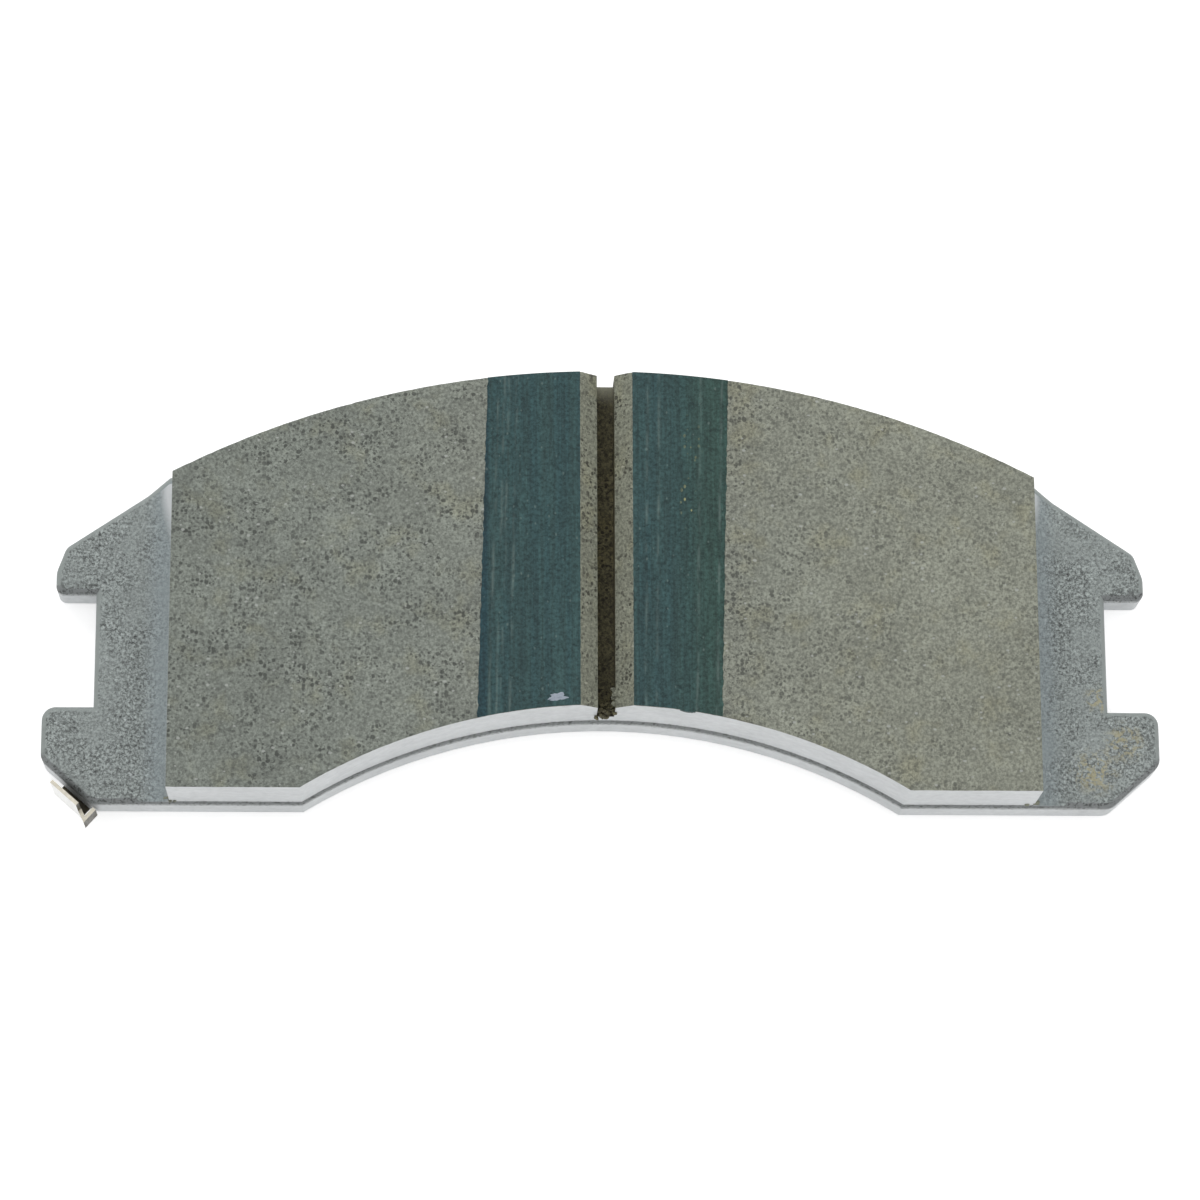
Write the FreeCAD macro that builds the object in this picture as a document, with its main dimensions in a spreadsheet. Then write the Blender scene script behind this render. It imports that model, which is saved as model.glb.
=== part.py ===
"""Disc brake pad, lying on its back: plate, moulded friction, bonded shim and wear indicator.

+X runs along the length of the pad, +Y points radially outward and +Z points to the rotor.
The origin is on the back face of the shim, at mid length, level with the middle of the two
ear notches that ride on the caliper bracket. Lengths are millimetres and angles are degrees.
"""

import FreeCAD, Part
import os
import re

import Sketcher

DIMENSIONS = {
    # Arcs of the pad, all about the rotor axis.
    "outer_radius": 120.0,        # outer edge of the friction face
    "radial_depth": 45.0,         # friction face, from its outer edge to its inner edge
    "crown_rise": 35.9,           # outer edge above the middle of the notches, at mid length
    # Friction block.
    "friction_foot": 20.2,        # straight lower edges, below the notch middle
    "friction_depth": 7.5,        # friction material above the underlayer
    "underlayer_depth": 1.5,
    "slot_shift": 0.2,            # slot beside mid length
    "slot_width": 2.3,
    "slot_depth": 6.9,
    "slot_mouth": 6.8,            # width across the two bevels beside the slot
    "slot_bevel": 1.9,            # depth of those bevels
    # Burnish coating.
    "left_stripe_width": 12.7,
    "right_stripe_width": 12.0,
    "stripe_lean": 1.2,           # sideways run of a stripe's outer edge over its length
    "stripe_depth": 0.1,
    # Backing plate.
    "notch_reach": 66.6,          # floor of each ear notch, from mid length
    "notch_height": 15.2,
    "ear_face": 10.2,             # bare plate between the notch floor and the friction
    "plate_depth": 5.5,
    "edge_margin": 0.3,           # plate beyond the friction, inner edge
    "top_margin": 0.4,            # plate beyond the friction, outer edge
    "edge_roll": 0.9,             # rounding that the press leaves round the front face
    "shoulder_start": 9.0,        # where the ear leaves the outer arc, inside the friction's end
    "shoulder_gap": 0.9,          # top of the ear's shoulder, beyond the friction's end
    "shoulder_rise": 1.8,         # that top, above the outer arc
    "slope_run": 2.8,             # foot of the short shoulder, along the length
    "slope_sag": 0.4718,          # that foot, below a straight line from shoulder to hook
    "slope_round": 5.0,
    "hook_length": 5.3,           # hook beyond the notch floor
    "hook_rise": 3.0,             # upright end of the hook, above the notch
    "hook_lean": 1.2,             # hook's corner, in from its end
    "hook_corner_rise": 6.3,      # hook's corner, above the notch
    "hook_corner_round": 1.6,
    "hook_round": 3.0,
    "tip_round": 1.1,
    "lug_length": 6.7,            # lug beyond the notch floor
    "lug_round": 1.8,
    "lug_cut_along": 6.6,         # lower outer corner cut, along the length
    "lug_cut_up": 5.8,            # lower outer corner cut, up the side
    "lug_cut_round": 2.0,
    # Holes that key the underlayer into the plate.
    "anchor_size": 12.0,
    "anchor_inset": 22.5,         # circle of the hole centres, in from the outer arc
    "anchor_near_reach": 13.5694, # hole centres, from mid length
    "anchor_far_reach": 38.0963,
    # Bonded shim, from the plate outward.
    "adhesive_depth": 0.15,
    "damping_depth": 0.2,
    "core_depth": 0.45,
    "skin_depth": 0.2,
    "shim_spread": 2.1,           # shim beyond the friction, along the length
    "shim_inset": 2.5,            # plate edge left bare round the shim
    "shim_round": 4.0,
    "relief_gap": 1.1,            # shim kept off the wear indicator
    # Wear indicator: a strip riveted to the back, turned forward past the cut corner.
    "strip_depth": 0.5,
    "strip_start": -0.75,         # strip's upper edge, from the middle of the cut corner
    "strip_width": 4.6,
    "strip_standoff": 1.7,        # outer face of the upturned wall, beyond the cut corner
    "wall_rise": 2.7,             # tip above the front face of the plate
    "tail_foot": 1.5,             # relief under the folded tail, above the strip's back
    "tail_height": 3.5,
    "tail_reach": 5.4,            # fold of the tail, from the middle of the cut corner
    "tail_flare": 2.35,           # fold of the tail, beyond the cut corner
    "tail_end": 0.05,             # free end of the tail, beyond the cut corner
    "bend_round": 0.9,
    "eye_inset": 22.6,            # rivet centre behind the cut corner
    "eye_size": 8.0,
    "rivet_size": 3.2,
    "rivet_head_size": 6.0,
    "rivet_head_depth": 0.4,
    "rivet_sink": 1.1,            # depth and spread of the flush front head
}

# Heights that stack up from the back of the shim.
SHIM_DEPTH = "(adhesive_depth + damping_depth + core_depth + skin_depth)"
PLATE_FRONT = f"({SHIM_DEPTH} + plate_depth)"
UNDERLAYER_FRONT = f"({PLATE_FRONT} + underlayer_depth)"
FRICTION_FRONT = f"({UNDERLAYER_FRONT} + friction_depth)"
STRIP_BACK = f"({SHIM_DEPTH} - strip_depth)"
WALL_TOP = f"({PLATE_FRONT} + wall_rise)"

# Places shared by several pieces.
ROTOR_DROP = "(outer_radius - crown_rise)"
INNER_RADIUS = "(outer_radius - radial_depth)"
ANCHOR_RADIUS = "(outer_radius - anchor_inset)"
PLATE_OUTER = "(outer_radius + top_margin)"
PLATE_INNER = f"({INNER_RADIUS} - edge_margin)"
FRICTION_HALF = "(notch_reach - ear_face)"
NOTCH_TOP = "(notch_height / 2)"
PLATE_FOOT = "(friction_foot + edge_margin)"
SHOULDER_START = f"({FRICTION_HALF} - shoulder_start)"
SHOULDER_REACH = f"({FRICTION_HALF} + shoulder_gap)"
SHOULDER_TOP = f"(sqrt({PLATE_OUTER}^2 - {SHOULDER_REACH}^2) - {ROTOR_DROP} + shoulder_rise)"
HOOK_REACH = "(notch_reach + hook_length)"
HOOK_CORNER = (f"({HOOK_REACH} - hook_lean)", f"({NOTCH_TOP} + hook_corner_rise)")
EAR_FALL = f"({SHOULDER_TOP} - {HOOK_CORNER[1]}) / ({HOOK_CORNER[0]} - {SHOULDER_REACH})"
LUG_REACH = "(notch_reach + lug_length)"
CUT_START = f"({PLATE_FOOT} - lug_cut_up)"
CUT_END = f"({LUG_REACH} - lug_cut_along)"
CUT_ANGLE = "atan2(lug_cut_up; lug_cut_along)"
CUT_MIDDLE_ACROSS = f"(-({LUG_REACH} + {CUT_END}) / 2)"
CUT_MIDDLE_UP = f"(-({CUT_START} + {PLATE_FOOT}) / 2)"
STRIP_END = "(strip_start + strip_width)"
STRIP_MIDDLE = "(strip_start + strip_width / 2)"
EYE_ALONG = f"({STRIP_MIDDLE} * cos({CUT_ANGLE}) + eye_inset * sin({CUT_ANGLE}))"
EYE_IN = f"(eye_inset * cos({CUT_ANGLE}) - {STRIP_MIDDLE} * sin({CUT_ANGLE}))"
EYE_ACROSS = f"({CUT_MIDDLE_ACROSS} + {EYE_ALONG})"
EYE_UP = f"({CUT_MIDDLE_UP} + {EYE_IN})"

SIDES = (1, -1)
SINK_ANGLE = 45.0    # slope of the rivet's flush head, the same as the plate's countersink
NEAR = 1e-4          # places closer than this are the same place
LEAST_CUT = 1.0      # cubic millimetres that a pocket takes away at least

doc = FreeCAD.newDocument("brake_pad")
sheet = doc.addObject("Spreadsheet::Sheet", "Dimensions")
for row, (alias, size) in enumerate(DIMENSIONS.items(), start=1):
    sheet.set(f"A{row}", alias)
    sheet.set(f"B{row}", str(size))
    sheet.setAlias(f"B{row}", alias)
doc.recompute()


def bound(text):
    """Return the expression with every dimension's name pointed at the sheet."""
    return re.sub(r"[a-z_]+[a-z]", lambda word: sheet_name(word.group()), text)


def sheet_name(word):
    """Return one word of an expression, with the sheet's name before a dimension."""
    return f"Dimensions.{word}" if word in DIMENSIONS else word


def measure(text):
    """Return the present value of an expression, as a number."""
    return float(sheet.evalExpression(bound(text)))


def make_body(label):
    """Start a sub-part under the name that its file gets."""
    body = doc.addObject("PartDesign::Body", label)
    body.Label = label
    return body


def make_sketch(body, name, level, role="XY_Plane"):
    """Attach an empty sketch to one of the body's own origin planes, at the given level."""
    sketch = body.newObject("Sketcher::SketchObject", name)
    plane = next(item for item in body.Origin.OriginFeatures if item.Role == role)
    sketch.AttachmentSupport = (plane, [""])
    sketch.MapMode = "FlatFace"
    sketch.setExpression("AttachmentOffset.Base.z", bound(level))
    return sketch


def turn_to_cut_corner(sketch):
    """Move a sketch to the cut corner of the left lug: +X down along it, -Y out of the plate."""
    sketch.AttachmentOffset = cut_corner_frame()
    sketch.setExpression("AttachmentOffset.Base.x", bound(CUT_MIDDLE_ACROSS))
    sketch.setExpression("AttachmentOffset.Base.y", bound(CUT_MIDDLE_UP))
    sketch.setExpression("AttachmentOffset.Rotation.Angle", bound(CUT_ANGLE))


def cut_corner_frame():
    """Return the frame at the middle of the left lug's cut corner, as a placement."""
    middle = FreeCAD.Vector(measure(CUT_MIDDLE_ACROSS), measure(CUT_MIDDLE_UP), 0)
    turn = FreeCAD.Rotation(FreeCAD.Vector(0, 0, -1), measure(CUT_ANGLE))
    return FreeCAD.Placement(middle, turn)


def hold(sketch, kind, places, size):
    """Add a dimension to the sketch and bind it to the sheet."""
    index = sketch.addConstraint(Sketcher.Constraint(kind, *places, measure(size)))
    sketch.setExpression(f"Constraints[{index}]", bound(size))


def hold_point(sketch, curve, end, across, up):
    """Dimension a point of a curve from the sketch's origin; None leaves a direction free."""
    if across is not None:
        hold(sketch, "DistanceX", (-1, 1, curve, end), across)
    if up is not None:
        hold(sketch, "DistanceY", (-1, 1, curve, end), up)


def add_line(sketch, start, end):
    """Add a line between two points given as pairs of numbers."""
    return sketch.addGeometry(Part.LineSegment(FreeCAD.Vector(*start, 0), FreeCAD.Vector(*end, 0)))


def add_rotor_arc(sketch, radius, right, left):
    """Add an arc about the rotor axis between two points, bound to its radius and centre."""
    centre = FreeCAD.Vector(0, -measure(ROTOR_DROP), 0)
    circle = Part.Circle(centre, FreeCAD.Vector(0, 0, 1), measure(radius))
    ends = [circle.parameter(FreeCAD.Vector(*point, 0)) for point in (right, left)]
    arc = sketch.addGeometry(Part.ArcOfCircle(circle, *ends))
    hold(sketch, "Radius", (arc,), radius)
    sketch.addConstraint(Sketcher.Constraint("PointOnObject", arc, 3, -2))
    hold(sketch, "DistanceY", (arc, 3, -1, 1), ROTOR_DROP)
    return arc


def join(sketch, first, first_end, second, second_end):
    """Make two curve ends meet."""
    sketch.addConstraint(Sketcher.Constraint("Coincident", first, first_end, second, second_end))


def on_arc_up(radius, across):
    """Return how far up an arc about the rotor axis stands at a distance across."""
    return f"sqrt(({radius})^2 - ({across})^2) - {ROTOR_DROP}"


def on_arc_across(radius, up):
    """Return how far across an arc about the rotor axis stands at a height."""
    return f"sqrt(({radius})^2 - ({ROTOR_DROP} + ({up}))^2)"


def draw_pad_outline(sketch, outer, inner, half):
    """Draw a closed outline, the same left and right, between two arcs about the rotor axis.

    half lists the corners of the right side from the outer arc to the inner arc. Each is a
    pair of expressions, except that the first leaves its height, and the last its distance
    across, to the arc that it lies on.
    """
    corners = list(half)
    corners[0] = (half[0][0], on_arc_up(outer, half[0][0]))
    corners[-1] = (on_arc_across(inner, half[-1][1]), half[-1][1])
    points = [(measure(across), measure(up)) for across, up in corners]
    sides = {}
    for side in SIDES:
        mirrored = [(side * across, up) for across, up in points]
        lines = [add_line(sketch, *ends) for ends in zip(mirrored, mirrored[1:])]
        for upper, lower in zip(lines, lines[1:]):
            join(sketch, upper, 2, lower, 1)
        sides[side] = lines
    for radius, point, line, end in ((outer, points[0], 0, 1), (inner, points[-1], -1, 2)):
        arc = add_rotor_arc(sketch, radius, point, (-point[0], point[1]))
        join(sketch, arc, 1, sides[1][line], end)
        join(sketch, arc, 2, sides[-1][line], end)
    for side, lines in sides.items():
        held = [(lines[0], 1)] + [(line, 2) for line in lines]
        for (line, end), (across, up) in zip(held, half):
            hold_point(sketch, line, end, across and f"{side} * ({across})", up)


def draw_stripe(sketch, side, width):
    """Draw one coating stripe, from its slot bevel out to a line that leans."""
    slot_edge = f"slot_shift + {side} * slot_mouth / 2"
    outer_edge = f"{slot_edge} + {side} * {width}"
    top = (slot_edge, f"{outer_edge} + stripe_lean / 2")
    foot = (slot_edge, f"{outer_edge} - stripe_lean / 2")
    ends = {}
    for radius, edges in (("outer_radius", top), (INNER_RADIUS, foot)):
        across = sorted((measure(edge) for edge in edges), reverse=True)
        points = [(place, measure(on_arc_up(radius, str(place)))) for place in across]
        ends[radius] = (add_rotor_arc(sketch, radius, *points), points)
    outer_arc, outer_points = ends["outer_radius"]
    inner_arc, inner_points = ends[INNER_RADIUS]
    for number in (0, 1):
        line = add_line(sketch, outer_points[number], inner_points[number])
        join(sketch, line, 1, outer_arc, number + 1)
        join(sketch, line, 2, inner_arc, number + 1)
        edge = (number == 0) == (side > 0)
        hold_point(sketch, line, 1, top[edge], None)
        hold_point(sketch, line, 2, foot[edge], None)


def draw_circle(sketch, across, up, size):
    """Draw a circle of the given diameter about a point."""
    centre = FreeCAD.Vector(measure(across), measure(up), 0)
    circle = Part.Circle(centre, FreeCAD.Vector(0, 0, 1), measure(size) / 2)
    curve = sketch.addGeometry(circle)
    hold(sketch, "Radius", (curve,), f"({size}) / 2")
    hold_point(sketch, curve, 3, across, up)


def draw_polygon(sketch, corners):
    """Draw a closed polygon through corners given as pairs of expressions."""
    points = [(measure(across), measure(up)) for across, up in corners]
    lines = [add_line(sketch, *ends) for ends in zip(points, points[1:] + points[:1])]
    for number, (line, (across, up)) in enumerate(zip(lines, corners)):
        join(sketch, lines[number - 1], 2, line, 1)
        hold_point(sketch, line, 1, across, up)


def pad(body, sketch, name, depth, reverse=False):
    """Pad a sketch along +Z, or along -Z when reversed."""
    feature = body.newObject("PartDesign::Pad", name)
    feature.Profile = sketch
    feature.Reversed = reverse
    feature.setExpression("Length", bound(depth))
    doc.recompute()
    return feature


def pocket(body, sketch, name, through_both=False):
    """Pocket a sketch through the whole body along +Z, or both ways, and check that it cut."""
    before = body.Shape.Volume
    feature = body.newObject("PartDesign::Pocket", name)
    feature.Profile = sketch
    feature.Type = "ThroughAll"
    feature.Reversed = True
    feature.Midplane = through_both
    doc.recompute()
    if body.Shape.Volume > before - LEAST_CUT:
        raise RuntimeError(f"{name} cut nothing")


def dress(body, kind, name, edges, size_name, size):
    """Fillet or chamfer the named edges of the body's present shape, by one bound size."""
    dressed = body.Tip
    feature = body.newObject(f"PartDesign::{kind}", name)
    feature.Base = (dressed, edges)
    feature.setExpression(size_name, bound(size))
    doc.recompute()


def find_edges(shape, wanted):
    """Return the names of the edges that the test accepts."""
    names = [f"Edge{number}" for number, edge in enumerate(shape.Edges, 1) if wanted(edge)]
    if not names:
        raise RuntimeError("no edge found")
    return names


def upright_edges(shape, across, up):
    """Return the upright edges that stand at one corner of an outline, left and right."""
    def at_corner(edge):
        ends = [vertex.Point for vertex in edge.Vertexes]
        return all(
            abs(abs(point.x) - measure(across)) < NEAR and abs(point.y - measure(up)) < NEAR
            for point in ends
        )
    return find_edges(shape, at_corner)


def level_edges(shape, level):
    """Return the edges that lie flat at a height."""
    def at_level(edge):
        return all(abs(vertex.Z - measure(level)) < NEAR for vertex in edge.Vertexes)
    return find_edges(shape, at_level)


FRICTION_CORNERS = (
    (FRICTION_HALF, None),
    (FRICTION_HALF, "-friction_foot"),
    (None, "-friction_foot"),
)
PLATE_CORNERS = (
    (SHOULDER_START, None),
    (SHOULDER_REACH, SHOULDER_TOP),
    (f"{SHOULDER_REACH} + slope_run", f"{SHOULDER_TOP} - slope_run * {EAR_FALL} - slope_sag"),
    HOOK_CORNER,
    (HOOK_REACH, f"{NOTCH_TOP} + hook_rise"),
    (HOOK_REACH, NOTCH_TOP),
    ("notch_reach", NOTCH_TOP),
    ("notch_reach", f"-{NOTCH_TOP}"),
    (LUG_REACH, f"-{NOTCH_TOP}"),
    (LUG_REACH, f"-{CUT_START}"),
    (CUT_END, f"-{PLATE_FOOT}"),
    (None, f"-{PLATE_FOOT}"),
)
SHIM_CORNERS = (
    (f"{FRICTION_HALF} + shim_spread", None),
    (f"{FRICTION_HALF} + shim_spread", f"shim_inset - {PLATE_FOOT}"),
    (None, f"shim_inset - {PLATE_FOOT}"),
)


def anchor_places():
    """Return the centres of the anchor holes, as pairs of expressions."""
    places = []
    for reach in ("anchor_near_reach", "anchor_far_reach"):
        for side in SIDES:
            places.append((f"{side} * {reach}", on_arc_up(ANCHOR_RADIUS, reach)))
    return places


def draw_anchor_holes(sketch):
    """Draw the circles of the holes that key the underlayer into the plate."""
    for across, up in anchor_places():
        draw_circle(sketch, across, up, "anchor_size")


def make_backing_plate():
    """Stamp the plate: ears with notches, rolled front edge, anchor holes and rivet hole."""
    body = make_body("backing_plate")
    outline = make_sketch(body, "PlateOutline", SHIM_DEPTH)
    draw_pad_outline(outline, PLATE_OUTER, PLATE_INNER, PLATE_CORNERS)
    pad(body, outline, "PlatePad", "plate_depth")
    corners = (
        ("SlopeRound", PLATE_CORNERS[2], "slope_round"),
        ("HookCornerRound", PLATE_CORNERS[3], "hook_corner_round"),
        ("HookRound", PLATE_CORNERS[4], "hook_round"),
        ("TipRound", PLATE_CORNERS[5], "tip_round"),
        ("LugRound", PLATE_CORNERS[8], "lug_round"),
        ("LugUpperRound", PLATE_CORNERS[9], "lug_cut_round"),
        ("LugLowerRound", PLATE_CORNERS[10], "lug_cut_round"),
    )
    for name, corner, radius in corners:
        dress(body, "Fillet", name, upright_edges(body.Shape, *corner), "Radius", radius)
    front = level_edges(body.Shape, PLATE_FRONT)
    dress(body, "Fillet", "EdgeRoll", front, "Radius", "edge_roll")
    anchors = make_sketch(body, "AnchorHoles", SHIM_DEPTH)
    draw_anchor_holes(anchors)
    pocket(body, anchors, "AnchorPocket")
    rivet_hole = make_sketch(body, "RivetHole", SHIM_DEPTH)
    draw_circle(rivet_hole, EYE_ACROSS, EYE_UP, "rivet_size")
    pocket(body, rivet_hole, "RivetPocket")
    rim = [name for name in level_edges(body.Shape, PLATE_FRONT) if is_rivet_rim(body, name)]
    dress(body, "Chamfer", "RivetSink", rim, "Size", "rivet_sink")
    return body


def is_rivet_rim(body, name):
    """Tell whether an edge of the body is a circle of the rivet hole's size."""
    curve = body.Shape.getElement(name).Curve
    return isinstance(curve, Part.Circle) and abs(2 * curve.Radius - measure("rivet_size")) < NEAR


def make_underlayer(plate, rivet):
    """Mould the underlayer over the rolled edge of the plate and into its anchor holes."""
    body = make_body("underlayer_mould")
    outline = make_sketch(body, "UnderlayerOutline", f"{PLATE_FRONT} - edge_roll")
    draw_pad_outline(outline, "outer_radius", INNER_RADIUS, FRICTION_CORNERS)
    pad(body, outline, "UnderlayerPad", "underlayer_depth + edge_roll")
    plugs = make_sketch(body, "AnchorPlugs", PLATE_FRONT)
    draw_anchor_holes(plugs)
    pad(body, plugs, "PlugPad", "plate_depth", reverse=True)
    off_plate = doc.addObject("Part::Cut", "mould_less_plate")
    off_plate.Base = body
    off_plate.Tool = plate
    underlayer = doc.addObject("Part::Cut", "underlayer")
    underlayer.Label = "underlayer"
    underlayer.Base = off_plate
    underlayer.Tool = rivet
    doc.recompute()
    return underlayer


def make_friction_block():
    """Mould the friction material, with its centre slot and the bevels beside it."""
    body = make_body("friction_block")
    outline = make_sketch(body, "FrictionOutline", UNDERLAYER_FRONT)
    draw_pad_outline(outline, "outer_radius", INNER_RADIUS, FRICTION_CORNERS)
    pad(body, outline, "FrictionPad", "friction_depth")
    section = make_sketch(body, "SlotSection", "0", role="XZ_Plane")
    bevel_foot = f"{FRICTION_FRONT} - slot_bevel"
    slot_floor = f"{FRICTION_FRONT} - slot_depth"
    profile = (
        ("slot_mouth", FRICTION_FRONT),
        ("slot_width", bevel_foot),
        ("slot_width", slot_floor),
    )
    right = [(f"slot_shift + {width} / 2", level) for width, level in profile]
    left = [(f"slot_shift - {width} / 2", level) for width, level in reversed(profile)]
    draw_polygon(section, right + left)
    pocket(body, section, "Slot", through_both=True)
    return body


def make_stripe(label, side, width):
    """Lay one stripe of burnish coating on the friction face beside the slot."""
    body = make_body(label)
    outline = make_sketch(body, f"{label}_outline", FRICTION_FRONT)
    draw_stripe(outline, side, width)
    pad(body, outline, f"{label}_pad", "stripe_depth")
    return body


def make_shim_layer(label, level, depth):
    """Cut one layer of the bonded shim, with the relief that clears the wear indicator."""
    body = make_body(label)
    outline = make_sketch(body, f"{label}_outline", level)
    outer, inner = f"{PLATE_OUTER} - shim_inset", f"{PLATE_INNER} + shim_inset"
    draw_pad_outline(outline, outer, inner, SHIM_CORNERS)
    pad(body, outline, f"{label}_pad", depth)
    lower = upright_edges(body.Shape, *SHIM_CORNERS[1])
    dress(body, "Fillet", f"{label}_round", lower, "Radius", "shim_round")
    eye = make_sketch(body, f"{label}_eye_relief", level)
    draw_circle(eye, EYE_ACROSS, EYE_UP, "eye_size + 2 * relief_gap")
    pocket(body, eye, f"{label}_eye_pocket")
    arm = make_sketch(body, f"{label}_arm_relief", level)
    turn_to_cut_corner(arm)
    draw_arm(arm, "relief_gap")
    pocket(body, arm, f"{label}_arm_pocket")
    return body


def draw_arm(sketch, gap):
    """Draw the wear indicator's straight arm, from the rivet out past the cut corner."""
    low, high = f"strip_start - ({gap})", f"{STRIP_END} + ({gap})"
    outside = "-strip_standoff"
    draw_polygon(sketch, ((low, "eye_inset"), (low, outside), (high, outside), (high, "eye_inset")))


def make_wear_indicator():
    """Fold the wear indicator: arm with rivet eye, upturned wall and folded tail."""
    body = make_body("wear_indicator")
    arm = make_sketch(body, "ArmOutline", STRIP_BACK)
    turn_to_cut_corner(arm)
    draw_arm(arm, "0")
    pad(body, arm, "ArmPad", "strip_depth")
    eye = make_sketch(body, "EyeOutline", STRIP_BACK)
    draw_circle(eye, EYE_ACROSS, EYE_UP, "eye_size")
    pad(body, eye, "EyePad", "strip_depth")
    wall = make_sketch(body, "WallOutline", STRIP_BACK)
    turn_to_cut_corner(wall)
    outside, inside = "-strip_standoff", "strip_depth - strip_standoff"
    draw_polygon(wall, (
        ("strip_start", outside),
        (STRIP_END, outside),
        (STRIP_END, inside),
        ("strip_start", inside),
    ))
    pad(body, wall, "WallPad", f"{WALL_TOP} - {STRIP_BACK}")
    for name, line, level, radius in (
        ("OuterBend", outside, STRIP_BACK, "bend_round"),
        ("InnerBend", inside, SHIM_DEPTH, "bend_round - strip_depth"),
    ):
        dress(body, "Fillet", name, bend_edges(body.Shape, line, level), "Radius", radius)
    tail = make_sketch(body, "TailOutline", f"{STRIP_BACK} + tail_foot")
    turn_to_cut_corner(tail)
    draw_tail(tail, outside, inside)
    pad(body, tail, "TailPad", "tail_height")
    hole = make_sketch(body, "EyeHole", STRIP_BACK)
    draw_circle(hole, EYE_ACROSS, EYE_UP, "rivet_size")
    pocket(body, hole, "EyeHolePocket")
    return body


def draw_tail(sketch, outside, inside):
    """Draw the tail that carries on from the wall: out to a sharp fold, then back in."""
    angle = f"atan2(tail_flare - strip_standoff; tail_reach - {STRIP_END})"
    inner_reach = "tail_reach - strip_depth"
    draw_polygon(sketch, (
        (STRIP_END, outside),
        ("tail_reach", "-tail_flare"),
        ("tail_reach", "-tail_end"),
        (inner_reach, "-tail_end"),
        (inner_reach, f"strip_depth * (tan({angle}) + 1 / cos({angle})) - tail_flare"),
        (f"{STRIP_END} + strip_depth * tan({angle} / 2)", inside),
        (STRIP_END, inside),
    ))


def bend_edges(shape, line, level):
    """Return the edges along a line beside the cut corner, at a height."""
    to_corner = cut_corner_frame().inverse()

    def on_line(edge):
        return all(
            abs(to_corner.multVec(vertex.Point).y - measure(line)) < NEAR
            and abs(vertex.Z - measure(level)) < NEAR
            for vertex in edge.Vertexes
        )
    return find_edges(shape, on_line)


def make_rivet():
    """Form the rivet: flat back head, shank and a front head flush with the plate."""
    body = make_body("wear_indicator_rivet")
    lengths = (
        ("BackHead", f"{STRIP_BACK} - rivet_head_depth", "rivet_head_size", "rivet_head_depth"),
        ("Shank", STRIP_BACK, "rivet_size", "strip_depth + plate_depth"),
        ("FlushHead", f"{PLATE_FRONT} - rivet_sink", "rivet_size", "rivet_sink"),
    )
    for name, level, size, depth in lengths:
        circle = make_sketch(body, f"{name}Circle", level)
        draw_circle(circle, EYE_ACROSS, EYE_UP, size)
        feature = pad(body, circle, f"{name}Pad", depth)
    feature.TaperAngle = SINK_ANGLE
    doc.recompute()
    return body


def make_shim():
    """Stack the four layers of the bonded shim, from the outer skin up to the plate."""
    layers = (
        ("shim_outer_coat", "skin_depth"),
        ("shim_steel_core", "core_depth"),
        ("shim_damping_layer", "damping_depth"),
        ("shim_adhesive", "adhesive_depth"),
    )
    level = "0"
    pieces = []
    for label, depth in layers:
        pieces.append(make_shim_layer(label, level, depth))
        level = f"{level} + {depth}"
    return pieces


def check(pieces):
    """Stop if any object failed, any sketch is loose or any piece isn't a valid solid."""
    for item in doc.Objects:
        if {"Invalid", "Error"} & set(item.State):
            raise RuntimeError(f"{item.Name} failed: {item.State}")
        if item.isDerivedFrom("Sketcher::SketchObject") and not item.FullyConstrained:
            raise RuntimeError(f"{item.Name} isn't fully constrained")
    for piece in pieces:
        if piece.Shape.isNull() or not piece.Shape.isValid() or not piece.Shape.Solids:
            raise RuntimeError(f"{piece.Label} has no valid solid")


def main():
    """Build every piece, check it and write its STEP file."""
    plate = make_backing_plate()
    rivet = make_rivet()
    pieces = [
        plate,
        rivet,
        make_underlayer(plate, rivet),
        make_friction_block(),
        make_stripe("coating_stripe_left", -1, "left_stripe_width"),
        make_stripe("coating_stripe_right", 1, "right_stripe_width"),
        make_wear_indicator(),
        *make_shim(),
    ]
    doc.recompute()
    check(pieces)
    os.makedirs("parts", exist_ok=True)
    for piece in pieces:
        piece.Shape.exportStep(f"parts/{piece.Label}.step")
        box = piece.Shape.BoundBox
        print(f"{piece.Label}: {len(piece.Shape.Solids)} solid, {piece.Shape.Volume:.1f} mm3,",
              f"{box.XLength:.2f} x {box.YLength:.2f} x {box.ZLength:.2f} mm")


main()
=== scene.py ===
"""Looks of a disc brake pad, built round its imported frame, in metres.

The pad lies on its back: +X runs along its length, +Y away from the rotor's axis and +Z from
the piston side up to the rotor. Finishes, moulded and painted details, light and camera are
made here; the frame gives every place and size that the pieces share.
"""

import logging
import math
import random
from dataclasses import dataclass, field
from enum import Enum
from typing import Any, Callable, Iterable, Mapping, Sequence

import bmesh
import bpy
from mathutils import Matrix, Vector, noise


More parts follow.
